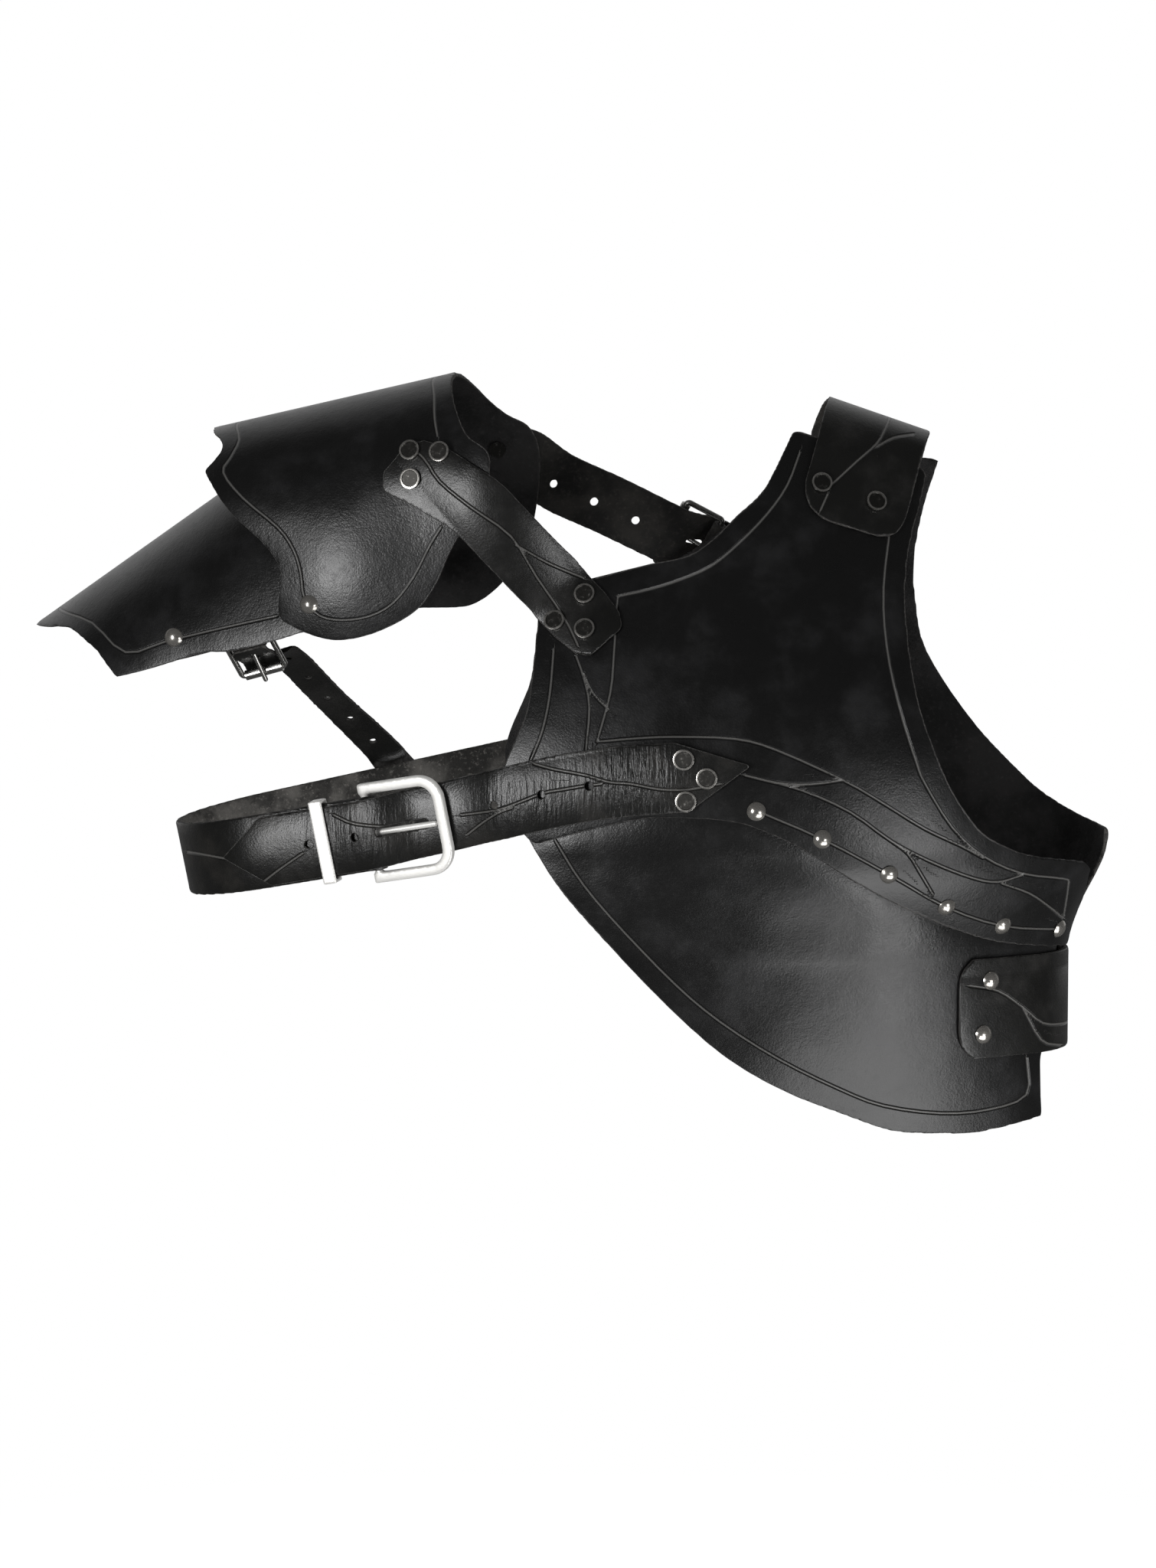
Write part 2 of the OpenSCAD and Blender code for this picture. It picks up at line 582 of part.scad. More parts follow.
function from_belt(p) = [belt_left, 0, belt_z] + turn_y(p - [belt_left, 0, 0], -belt_tilt);
module in_belt() { translate([belt_left, 0, belt_z]) rotate([0, -belt_tilt, 0]) translate([-belt_left,
    0, 0]) children(); }

// Points [x, y, outward x, outward y] of the loop's front half, from a place on the arc to the left end
function belt_half(x0) = let (a0 = asin((belt_apex - x0) / belt_r)) concat(
    [for (k = [0:10]) let (a = mix(a0, belt_leave, k / 10))
        [belt_apex - belt_r * sin(a), belt_r * (1 - cos(a)) - chest_depth, -sin(a), -cos(a)]],
    [for (k = [1:20]) let (u = k / 21)
        [mix(belt_leave_x, loop_x - loop_r * sin(belt_leave), u),
            mix(belt_leave_y, -loop_r * cos(belt_leave), u), -sin(belt_leave), -cos(belt_leave)]],
    [for (k = [0:10]) let (a = mix(belt_leave, 90, k / 10))
        [loop_x - loop_r * sin(a), -loop_r * cos(a), -sin(a), -cos(a)]]);
function belt_from(x) = [x, belt_leave_y + (belt_leave_x - x) * tan(belt_leave)];
// Child's +X runs along the straight stretch toward the breast plate, +Z is outward
module on_belt(x, off = 0) {
    p = belt_from(x);
    in_belt() translate([p.x - off * sin(belt_leave), p.y - off * cos(belt_leave), 0])
        rotate([90, 0, -belt_leave]) children();
}
module belt_band(line, inner, outer, w = belt_w) {
    linear_extrude(w, center = true) polygon(concat(
        [for (k = [0:len(line) - 1]) [line[k][0] + line[k][2] * outer[k], line[k][1]
            + line[k][3] * outer[k]]],
        [for (k = [len(line) - 1:-1:0]) [line[k][0] + line[k][2] * inner[k], line[k][1]
            + line[k][3] * inner[k]]]));
}

// Where the pieces of the belt lie along X
tongue_root = 97;
tongue_tip = -191;
tongue_point = 24;
tongue_w = 37.5;
// Rise of the tongue's middle over the straight belt line
tongue_line = [[-191, 0], [-115, 0], [-90, 1], [-62, 2.6], [-44, 4.1], [-24, 5.6], [-6, 6.3], [10, 6.3],
    [31, 5.2], [60, 1.8], [97, 1]];
heel_x = -109;
heel_off = -leather_t;
belt_fold_r = belt_bar_r + bar_gap + leather_t;
tongue_over_fold = heel_off + belt_fold_r + layer_gap;
tongue_dip = -leather_t - 0.6;
bow_lift = 1.6;
dip_from = -54;
dip_to = -88;
bar_off = tongue_dip + leather_t + layer_gap + bow_lift + belt_frame_t / 2;
belt_keeper_x = -134;
first_hole_x = 11.5;
prong_hole = 4;
// A flat belt on a round form stands off at its edges, the more so away from the apex
function twist_lift(x) = belt_w / 2 * sin(belt_tilt) * abs(belt_apex - x) / belt_r;
function tongue_off(x) = x > belt_leave_x ? layer_gap + twist_lift(x)
    : x > dip_from ? mix(layer_gap + twist_lift(x), tongue_dip,
        smooth((belt_leave_x - x) / (belt_leave_x - dip_from)))
    : x > dip_to ? tongue_dip
    : x > heel_x + 6 ? mix(tongue_dip, tongue_over_fold, smooth((dip_to - x) / (dip_to - heel_x - 6)))
    : x > heel_x - 6 ? tongue_over_fold
    : mix(tongue_over_fold, layer_gap, smooth((heel_x - 6 - x) / 10));

// Rivets of the belt's two roots: along the belt, across it, how many plates they hold
tongue_rivets = [[63, 11, 1], [73, -1, 1], [60, -11, 2]];
root_rivets = [[55, 11, 1], [43, 2, 1], [57, -12, 2]];
rivet_lean = 1;
module tongue_rivet_holes() {
    for (p = tongue_rivets) on_belt_any(p.x) translate([0, p.y, 0]) cylinder(r = hole_r, h = 60,
        center = true);
}
module belt_root_holes() {
    for (p = root_rivets) mirror([0, 1, 0]) on_belt_any(p.x) translate([0, p.y, 0])
        cylinder(r = hole_r, h = 60, center = true);
}
// Rivet at a place on the belt; the form leans away from the belt above its middle
module belt_rivet(p) {
    lift = tongue_off(p.x);
    lean = form_in(p.y + 16) + rivet_lean;
    on_belt_any(p.x, lift + leather_t) translate([0, p.y, 0])
        flat_rivet(lift + leather_t + p[2] * (leather_t + layer_gap) + lean);
}
module belt_holes() {
    for (k = [0, 1, 2, 5, 6]) {
        x = first_hole_x - k * belt_hole_step;
        on_belt_any(x) translate([0, lookup(x, tongue_line), 0]) cylinder(r = belt_hole_r, h = 30,
            center = true);
    }
}
// As on_belt, on the arc as well as on the straight stretch
module on_belt_any(x, off = 0) {
    a = x > belt_leave_x ? asin((belt_apex - x) / belt_r) : belt_leave;
    if (x > belt_leave_x)
        in_belt() translate([belt_apex - (belt_r + off) * sin(a), belt_r - chest_depth - (belt_r
            + off) * cos(a), 0])
            rotate([90, 0, -a]) children();
    else on_belt(x, off) children();
}
module belt_tongue() {
    line = belt_half(tongue_root);
    inner = [for (p = line) tongue_off(p.x)];
    end = tongue_w / 2;
    middle = spline([for (p = tongue_line) if (p.x > tongue_tip + tongue_point && p.x < 80) p], 3);
    slot = belt_prong_r + 0.6;
    color(black_leather) worn() difference() {
        in_belt() intersection() {
            belt_band(line, inner, [for (o = inner) o + leather_t], 2 * belt_w);
            front_prism(concat([[tongue_tip, 0], [tongue_tip + tongue_point, -end]],
                [for (p = middle) [p.x, p.y - end]], [[tongue_root, tongue_line[10].y]],
                [for (p = reversed(middle)) [p.x, p.y + end]], [[tongue_tip + tongue_point, end]]));
        }
        tongue_rivet_holes();
        belt_holes();
        on_belt(heel_x) translate([4, -slot, -12]) cube([29, 2 * slot + 1, 24]);
    }
}
module belt_tongue_rivets() { worn() for (p = tongue_rivets) belt_rivet(p); }

// The rear strap runs from the heel bar round the left to the back plate
root_x = 66;
fold_lap = 17;
spare = 4;
function rear_off(x, k, n) = mix(heel_off, layer_gap + (x > belt_leave_x ? twist_lift(x) : 0),
    smooth(k / n));
module belt_buckle_strap() {
    front = [for (p = belt_half(root_x)) if (p.x < heel_x && p.y < 0) p];
    rear = [for (p = reversed(belt_half(root_x))) [p[0], -p[1], p[2], -p[3]]];
    line = concat([concat(belt_from(heel_x), [-sin(belt_leave), -cos(belt_leave)])], front,
        [for (k = [1:len(rear) - 1]) rear[k]]);
    inner = [for (k = [0:len(line) - 1]) rear_off(line[k][0], k - len(front), 12)];
    slot = belt_bar_r;
    end = belt_w / 2;
    color(black_leather) worn() difference() {
        intersection() {
            union() {
                in_belt() belt_band(line, inner, [for (o = inner) o + leather_t], belt_w + spare);
                on_belt(heel_x, heel_off) rotate([90, 0, 0])
                    cylinder(r = belt_fold_r, h = belt_w + spare, center = true);
                on_belt(heel_x, heel_off) translate([-fold_lap, -end - spare / 2, -leather_t])
                    cube([fold_lap, belt_w + spare, leather_t + layer_gap]);
            }
            in_belt() cube([1000, 1000, belt_w], center = true);
        }
        on_belt(heel_x, heel_off) rotate([90, 0, 0]) cylinder(r = belt_bar_r + bar_gap, h = 60,
            center = true);
        on_belt(heel_x, heel_off) translate([-belt_fold_r - 2, -slot, -20]) cube([40, 2 * slot, 40]);
        belt_root_holes();
        on_rear_belt(arm_root.x, arm_root.y) cylinder(r = hole_r, h = 20, center = true);
    }
}
module belt_buckle_strap_rivets() { worn() mirror([0, 1, 0]) for (p = root_rivets) belt_rivet(p); }

// Horseshoe frame: heel bar along Y at the origin, its bow toward +X
bow_wall = 6;
bow_gap = 1.2;
bow_round = 11;
bow_slope = atan((bar_off - heel_off) / belt_buckle_l);
module bow(grow) {
    half = belt_w / 2 + bow_gap + bow_wall / 2 + grow;
    round_r = bow_round + grow;
    polygon(concat([[-grow, -half], [-grow, half]],
        [for (a = [90:-10:0]) [belt_buckle_l - bow_round + round_r * cos(a), half - round_r
        + round_r * sin(a)]],
        [for (a = [0:-10:-90]) [belt_buckle_l - bow_round + round_r * cos(a), -half + round_r
            + round_r * sin(a)]]));
}
module belt_buckle_frame() {
    color(nickel) worn() on_belt(heel_x, heel_off) rotate([0, -bow_slope, 0]) union() {
        difference() {
            translate([0, 0, -belt_frame_t / 2]) linear_extrude(belt_frame_t) bow(bow_wall / 2);
            translate([0, 0, -belt_frame_t]) linear_extrude(2 * belt_frame_t) bow(-bow_wall / 2);
            translate([-20, -belt_w / 2 - bow_gap, -20]) cube([30, belt_w + 2 * bow_gap, 40]);
        }
        rotate([90, 0, 0]) cylinder(r = belt_bar_r, h = belt_w + 8, center = true);
    }
}
belt_prong_r = 1.6;
belt_prong_l = belt_buckle_l - bow_wall / 2 - belt_prong_r - 1;
belt_prong_slope = atan((tongue_dip + leather_t + 3 * layer_gap + belt_prong_r - heel_off) / belt_prong_l);
module belt_buckle_prong() {
    reach = belt_prong_l / cos(belt_prong_slope);
    color(nickel) worn() on_belt(heel_x, heel_off) difference() {
        union() {
            rotate([90, 0, 0]) cylinder(r = belt_bar_r + bar_gap + 1.4, h = 2 * belt_prong_r,
                center = true);
            rotate([0, 90 - belt_prong_slope, 0]) cylinder(r = belt_prong_r, h = reach);
            rotate([0, 90 - belt_prong_slope, 0]) translate([0, 0, reach]) sphere(r = belt_prong_r);
        }
        rotate([90, 0, 0]) cylinder(r = belt_bar_r + bar_gap, h = 20, center = true);
    }
}
module belt_keeper() {
    wall = 2;
    play = 0.6;
    low = -leather_t - play;
    high = leather_t + layer_gap + play;
    color(nickel) worn() on_belt(belt_keeper_x) difference() {
        translate([-keeper_w / 2, -belt_w / 2 - play - wall, low - wall])
            cube([keeper_w, belt_w + 2 * (play + wall), high - low + 2 * wall]);
        translate([-keeper_w, -belt_w / 2 - play, low]) cube([2 * keeper_w, belt_w + 2 * play, high - low]);
    }
}

// Pauldron cap: an arch along +X with straight flaps, its crest through the origin
cap_at = [-131.5, 0, 210.5];
cap_edge = [[-72, 2], [-66, -4], [-59, -10], [-60, -16], [-68, -23], [-61, -38], [-54, -50], [-42, -66],
    [-36, -78], [-35, -88], [-39, -98], [-41, -108], [-36, -114], [-28, -120], [-16, -126], [-2, -128],
    [16, -126], [34, -120], [47, -109], [60, -92], [76, -76], [87, -62], [90, -47], [80, -36], [75, -22],
    [71, -8], [68, 2]];
cap_corner = 4;
cap_rear_edge = [[-72, 2], [-66, -4], [-59, -10], [-60, -16], [-68, -23], [-61, -38], [-54, -50], [-42,
    -66],
    [-36, -78], [-35, -88], [-39, -98], [-41, -108], [-36, -114], [-28, -118], [-14, -120], [2, -121],
    [18, -124], [33, -126], [48, -121], [62, -111], [74, -97], [84, -76], [90, -56], [91, -44], [88, -35],
    [80, -28], [74, -19], [70, -8], [68, 2]];
pivot_in_cap = [-23.4, -105];
pivot_at = from_cap([pivot_in_cap.x, 0, pivot_in_cap.y]);
module in_cap() { translate(cap_at) rotate([0, -cap_tilt, -cap_yaw]) children(); }
module in_lame() { translate(pivot_at) rotate([0, -lame_tilt, -cap_yaw]) children(); }
module arch(r, drop) {
    translate([0, -r]) circle(r = r, $fn = 96);
    translate([-r, -drop]) square([2 * r, drop - r]);
}
module arch_shell(r, t, length) {
    rotate([90, 0, 90]) linear_extrude(length, center = true) difference() {
        arch(r, 140);
        translate([0, -t]) arch(r - t, 150);
    }
}
module both_flaps(outline) { rotate([90, 0, 0]) linear_extrude(300, center = true) polygon(outline); }
module one_flap(edge, back) {
    outline = concat(spline([for (k = [0:cap_corner]) edge[k]], 3),
        spline([for (k = [cap_corner + 1:len(edge) - 1]) edge[k]], 3));
    mirror([0, back ? 1 : 0, 0]) rotate([90, 0, 0]) linear_extrude(150) polygon(outline);
}
cap_strap_rivets = [[49, -38], [65, -42], [47, -52]];
rear_cap_rivets = [[52, -40], [69, -44]];
// Point, turn and child frame on the arch of the cap
function arch_lean(z) = z > -shoulder_r ? asin(min((z + shoulder_r) / shoulder_r, 1)) : 0;
function arch_point(x, z, off, back) = let (a = arch_lean(z), y = -(shoulder_r + off) * cos(a))
    [x, back ? -y : y, z > -shoulder_r ? -shoulder_r + (shoulder_r + off) * sin(a) : z];
module on_cap(x, z, off = 0, back = false) {
    in_cap() translate(arch_point(x, z, off, back)) rotate([90 - arch_lean(z), 0, back
        ? 180 : 0]) children();
}
module pauldron_cap() {
    color(black_leather) worn() difference() {
        in_cap() intersection() {
            arch_shell(shoulder_r, leather_t, 240);
            union() {
                one_flap(cap_edge, false);
                one_flap(cap_rear_edge, true);
            }
        }
        in_lame() rotate([90, 0, 0]) cylinder(r = hole_r, h = 300, center = true);
        for (p = cap_strap_rivets) on_cap(p.x, p.y) cylinder(r = hole_r, h = 20, center = true);
        for (p = rear_cap_rivets) on_cap(p.x, p.y, 0, true) cylinder(r = hole_r, h = 20, center = true);
    }
}
lame_r = shoulder_r - leather_t - lame_play;
lame_edge = [[-113, 28], [-97, 22], [-81, 17], [-65, 12], [-52, 4], [-34, -3], [-15, -9], [4, -13],
    [17, -10], [22, 2]];
lame_end = [[-151, 86], [-145, 79], [-127, 68], [-121, 60], [-115, 46]];
lame_inner_x = 22;
tab_pivot = [-73.7, 27.6];
module pauldron_lame() {
    color(black_leather) worn() in_lame() difference() {
        intersection() {
            translate([-60, 0, lame_rise]) arch_shell(lame_r, leather_t, 240);
            both_flaps(concat(spline(lame_end, 3), spline(lame_edge, 3), [[lame_inner_x, 90]]));
        }
        rotate([90, 0, 0]) cylinder(r = shank_r + bar_gap, h = 300, center = true);
        translate([tab_pivot.x, -lame_r, tab_pivot.y]) rotate([90, 0, 0]) cylinder(r = hole_r, h = 20,
            center = true);
    }
}
module lame_pivot_rivets() {
    grip = 2 * leather_t + lame_play;
    worn() in_lame() for (back = [0, 180]) rotate([90, 0, back]) translate([0, 0, shoulder_r]) {
        color(bright_rivet) {
            dome(dome_r, dome_r / 2);
            translate([0, 0, -grip - 0.2]) cylinder(r = shank_r, h = grip + 0.2);
            translate([0, 0, -grip - 0.2 - cap_h]) cylinder(r = cap_r - 1, h = cap_h);
        }
    }
}

// Straps between the pauldron and the plates
pauldron_half = pauldron_strap_w / 2;
function cap_station(x, z, back, a, half, lift = 0, share = 1) = let (r = [90 - arch_lean(z), 0, back
    ? 180 : 0],
    c = [0, -cap_tilt, -cap_yaw]) [from_cap(arch_point(x, z, strap_off + lift, back)),
        turn(turn([cos(a), sin(a), 0], r), c), turn(turn([0, 0, 1], r), c), half,
        z > -shoulder_r ? share * pow(sin(a), 2) / shoulder_r : 0];
// How far behind the foremost line of the chest the strap hangs between the cap and the chest
bridge_in = [29.4, 34.2, 37];
front_strap_line = concat(
    [cap_station(40, -40, false, 40, pauldron_half * 0.5), cap_station(44, -44, false, 40,
        pauldron_half * 0.95),
        cap_station(50, -48, false, 40, pauldron_half), cap_station(57, -53, false, 40, pauldron_half),
        cap_station(68, -63, false, 36, pauldron_half),
        cap_station(79, -74, false, 33, pauldron_half)],
    [[[-37, bridge_in[0] - chest_depth, 139], unit([0.62, -0.10, 0.77]), unit([-0.20, -0.97, 0.05]),
        pauldron_half],
        [[-22, bridge_in[1] - chest_depth, 123], unit([0.64, -0.06, 0.74]), unit([-0.20, -0.95, 0.15]),
        pauldron_half],
        [[-14, bridge_in[2] - chest_depth, 115], unit([0.65, 0.02, 0.74]), unit([-0.20, -0.92, 0.30]),
        pauldron_half]],
    [on_form_station(-7, 106, strap_off + 0.7, false, 45, pauldron_half),
        on_form_station(1, 98, strap_off + 0.1, false, 45, pauldron_half),
        on_form_station(10, 89, strap_off, false, 45, pauldron_half * 0.9),
        on_form_station(15, 84, strap_off, false, 45, pauldron_half * 0.6)]);
module front_pauldron_strap() {
    color(black_leather) worn() difference() {
        strap(flow(front_strap_line), strap_t);
        shank_holes(front_strap_rivets);
        for (p = cap_strap_rivets) on_cap(p.x, p.y) cylinder(r = hole_r, h = 20, center = true);
    }
}
module front_strap_upper_rivets() {
    worn() for (p = cap_strap_rivets) on_cap(p.x, p.y, strap_t + 2 * layer_gap)
        flat_rivet(strap_t + leather_t + 3 * layer_gap);
}
module front_strap_lower_rivets() {
    worn() for (p = front_strap_rivets) on_form(p.x, p.y, strap_t + 2 * layer_gap)
        flat_rivet(strap_t + leather_t + 3 * layer_gap);
}
rear_strap_line = concat(
    [cap_station(42, -33, true, -52 + 180, pauldron_half * 0.7), cap_station(46, -35, true, -52 + 180,
        pauldron_half),
        cap_station(54, -39.5, true, -54 + 180, pauldron_half),
        cap_station(62, -44, true, -56 + 180, pauldron_half), cap_station(73, -50, true, -56 + 180,
            pauldron_half, 0.4),
        cap_station(84, -57, true, -56 + 180, pauldron_half, 1.3, 0.35)],
    [[[-10, 57, 162.5], unit([0.40, -0.33, 0.85]), unit([0.05, 0.93, 0.35]), pauldron_half],
        [[18, 64.3, 149.5], unit([0.42, -0.34, 0.83]), unit([0.0, 0.92, 0.39]), pauldron_half]],
    reversed(buckled(neck_buckle, pauldron_strap_w)));
rear_holes = [[-15.3, 162.1], [8.5, 151.8], [32.3, 141.1]];
module rear_pauldron_strap() {
    color(black_leather) worn() difference() {
        strap(flow(rear_strap_line), strap_t);
        for (p = rear_cap_rivets) on_cap(p.x, p.y, 0, true) cylinder(r = hole_r, h = 20, center = true);
        on_buckle(neck_buckle) prong_slot();
        for (p = rear_holes) translate([p.x, 66, p.y]) rotate([90, 0, 10]) cylinder(r = strap_hole_r,
            h = 30, center = true);
    }
}
module rear_strap_rivets() {
    worn() for (p = rear_cap_rivets) on_cap(p.x, p.y, strap_t + 2 * layer_gap, true)
        flat_rivet(strap_t + leather_t + 3 * layer_gap);
}

// Arm buckle: in the lame's frame, its bar along the lame's lower edge
arm_tab_off = -lame_r + leather_t + 3 * layer_gap;
arm_heel = [-43, arm_tab_off + fold_r + 2, 3];
arm_turn = [-39, 19, 0];
function from_arm(p) = from_lame(arm_heel + turn_y(turn_x(turn(p, [180, 0, 90]), arm_turn.x), arm_turn.y));
function along_arm(v) = from_arm(v) - from_arm([0, 0, 0]);
module in_arm() {
    in_lame() translate(arm_heel) rotate([0, arm_turn.y, 0]) rotate([arm_turn.x, 0, 0]) rotate([180, 0,
        90]) children();
}
module arm_buckle_tab() {
    w = arm_strap_w - 1;
    color(black_leather) worn() difference() {
        union() {
            in_lame() translate([0, arm_tab_off + tab_t, 0]) rotate([90, 0, 0]) linear_extrude(tab_t)
                polygon([[-83, 24], [-80, 32], [-68, 33], [-34, 18], [-34, 4], [-52, 10], [-72, 21]]);
            in_arm() rotate([90, 0, 0]) cylinder(r = fold_r, h = w, center = true);
            in_arm() translate([-7, -w / 2, -fold_r + 0.4]) cube([7, w, fold_r]);
        }
        in_arm() rotate([90, 0, 0]) cylinder(r = wire_r + bar_gap, h = 2 * w, center = true);
        in_arm() translate([-8, -prong_r - 0.4, -20]) cube([40, 2 * prong_r + 0.8, 40]);
        in_lame() translate([tab_pivot.x, -lame_r, tab_pivot.y]) rotate([90, 0, 0])
            cylinder(r = shank_r + bar_gap, h = 30, center = true);
    }
}
module arm_tab_rivet() {
    grip = leather_t + tab_t + 3 * layer_gap;
    worn() in_lame() translate([tab_pivot.x, -lame_r, tab_pivot.y]) rotate([90, 0, 0]) color(bright_rivet) {
        dome(dome_r, dome_r / 2);
        translate([0, 0, -grip]) cylinder(r = shank_r, h = grip);
        translate([0, 0, -grip - cap_h]) cylinder(r = cap_r - 1, h = cap_h);
    }
}
module arm_buckle_frame() { worn() in_arm() roller_frame(arm_strap_w); }
module arm_buckle_prong() { worn() in_arm() buckle_prong(); }
module arm_buckle_roller() { worn() in_arm() buckle_roller(arm_strap_w); }
// Point and child frame on the rear of the belt, +Z outward
function rear_belt_point(x, z, off) = let (p = belt_from(x))
    from_belt([p.x - off * sin(belt_leave), off * cos(belt_leave) - p.y, z]);
module on_rear_belt(x, z, off = 0) { mirror([0, 1, 0]) on_belt(x, off) translate([0, z, 0]) children(); }
arm_half = arm_strap_w / 2;
arm_root = [-85, 0];
arm_root_slack = 1;
arm_root_gap = 0.5;
arm_belt_off = layer_gap + leather_t + arm_root_gap + strap_t / 2;
arm_across = unit([0.867, -0.41, 0.283]);
arm_face = 144.8;
arm_normal = [0, -sin(arm_face), cos(arm_face)];
arm_run = [[-161.5, -7, 73], [-138.2, 40, 43.7], [-113, 76, 14.5]];
arm_run_l = norm(arm_run[1] - arm_run[0]);
function arm_run_point(s) = s < arm_run_l ? mix(arm_run[0], arm_run[1], s / arm_run_l)
    : arm_run[1] + unit(arm_run[2] - arm_run[1]) * (s - arm_run_l);
arm_holes = 5;
arm_first_hole = 8;
arm_hole_step = 25;
belt_outward = unit([-sin(belt_leave), cos(belt_leave), 0]);
belt_across = unit([0.84, 0.216, 0.5]);
arm_line = concat(
    [for (s = [[-1.6, over_fold, 0.8], [0.4, over_fold, 1], [3, over_fold, 1], [buckle_l - 6,
        under_roller, 1],
        [buckle_l + 4, under_roller - 1, 1]])
        [from_arm([s[0], 0, s[1]]), along_arm([0, 1, 0]), along_arm([0, 0, 1]), s[2] * arm_half]],
    [[arm_run[0], arm_across, arm_normal, arm_half],
        [arm_run[1], arm_across, arm_normal, arm_half],
        [arm_run[2], unit([0.866, -0.25, 0.43]), unit([0.18, -0.72, -0.67]), arm_half]],
    [for (s = [[-97, 21, 1.4, 1], [-91, 11, 0.2, 1], [-85, 0, 0, 1], [-81, -8, 0, 0.9], [-79.5, -11, 0,
        0.6]])
        [rear_belt_point(s[0], s[1], arm_belt_off + s[2]), belt_across, -belt_outward, s[3] * arm_half]]);
module arm_strap() {
    color(black_leather) worn() difference() {
        strap(flow(arm_line), strap_t);
        in_arm() prong_slot();
        for (k = [0:arm_holes - 1]) translate(arm_run_point(arm_first_hole + k * arm_hole_step))
            rotate([arm_face, 0, 0]) cylinder(r = strap_hole_r - 0.4, h = 12, center = true);
        on_rear_belt(arm_root.x, arm_root.y) cylinder(r = shank_r + arm_root_slack, h = 30, center = true);
    }
}
module arm_strap_rivet() {
    grip = arm_belt_off + strap_t / 2 + layer_gap;
    worn() on_rear_belt(arm_root.x, arm_root.y, arm_belt_off + strap_t / 2 + layer_gap)
        flat_rivet(grip);
}

breast_plate();
belly_plate();
upper_back_plate();
lower_back_plate();
front_band_rivets();
back_band_rivets();
shoulder_strap();
shoulder_strap_rivets();
shoulder_buckle_tab();
shoulder_tab_rivets();
shoulder_strap_keeper();
shoulder_buckle_frame();
shoulder_buckle_prong();
shoulder_buckle_roller();
side_strap();
side_strap_rivets();
side_buckle_tab();
side_tab_rivets();
side_strap_keeper();
side_buckle_frame();
side_buckle_prong();
side_buckle_roller();
belt_tongue();
belt_tongue_rivets();
belt_buckle_strap();
belt_buckle_strap_rivets();
belt_buckle_frame();
belt_buckle_prong();
belt_keeper();
pauldron_cap();
pauldron_lame();
lame_pivot_rivets();
front_pauldron_strap();
front_strap_upper_rivets();
front_strap_lower_rivets();
rear_pauldron_strap();
rear_strap_rivets();
neck_buckle_tab();
neck_tab_rivets();
neck_strap_keeper();
neck_buckle_frame();
neck_buckle_prong();
neck_buckle_roller();
arm_strap();
arm_strap_rivet();
arm_buckle_tab();
arm_tab_rivet();
arm_buckle_frame();
arm_buckle_prong();
arm_buckle_roller();
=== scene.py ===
"""Leather cuirass with a pauldron: tooled black leather, rivets and buckles, in a pale studio."""

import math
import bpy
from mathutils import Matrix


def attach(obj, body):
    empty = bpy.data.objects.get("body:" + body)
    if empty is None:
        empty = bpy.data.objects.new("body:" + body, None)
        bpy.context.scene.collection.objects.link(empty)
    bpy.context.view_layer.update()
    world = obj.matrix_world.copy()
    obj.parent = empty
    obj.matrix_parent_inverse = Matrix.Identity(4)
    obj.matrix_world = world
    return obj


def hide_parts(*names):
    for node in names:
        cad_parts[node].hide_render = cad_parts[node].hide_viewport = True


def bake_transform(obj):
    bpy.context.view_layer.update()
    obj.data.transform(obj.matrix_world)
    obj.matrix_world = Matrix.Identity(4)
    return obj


bl_info = {
    "name": "Leather Cuirass",
    "version": (1, 0, 0),
    "blender": (4, 5, 0),
    "location": "View3D > Sidebar > Cuirass",
    "description": "Tooled leather plates and straps, rivets and buckles of a one-shoulder cuirass",
    "category": "Object",
}

import bmesh
import bpy
import numpy as np
from bpy.props import FloatProperty, FloatVectorProperty, IntProperty, PointerProperty
from mathutils import Vector

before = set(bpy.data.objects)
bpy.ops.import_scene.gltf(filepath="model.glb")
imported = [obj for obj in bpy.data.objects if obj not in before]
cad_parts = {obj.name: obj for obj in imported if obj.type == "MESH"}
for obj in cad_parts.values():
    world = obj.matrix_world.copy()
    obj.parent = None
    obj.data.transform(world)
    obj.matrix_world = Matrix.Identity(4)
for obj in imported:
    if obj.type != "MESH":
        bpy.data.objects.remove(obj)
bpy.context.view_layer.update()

MM = 0.001
# The place that the camera looks at: the middle of the picture
VIEW_CENTRE = Vector((-0.164, 0.0, -0.2))
CAMERA_DISTANCE = 2.8
CAMERA_RISE = math.radians(6)
# The camera sees 2048 pixels of 0.42 mm on its long side at its distance
PICTURE_HEIGHT = 0.86016


def linear(text, alpha=1.0):
    """An sRGB hex colour as linear light."""
    parts = [int(text[i : i + 2], 16) / 255 for i in (1, 3, 5)]
    return [c / 12.92 if c <= 0.04045 else ((c + 0.055) / 1.055) ** 2.4 for c in parts] + [alpha]


# ---- What a user can change


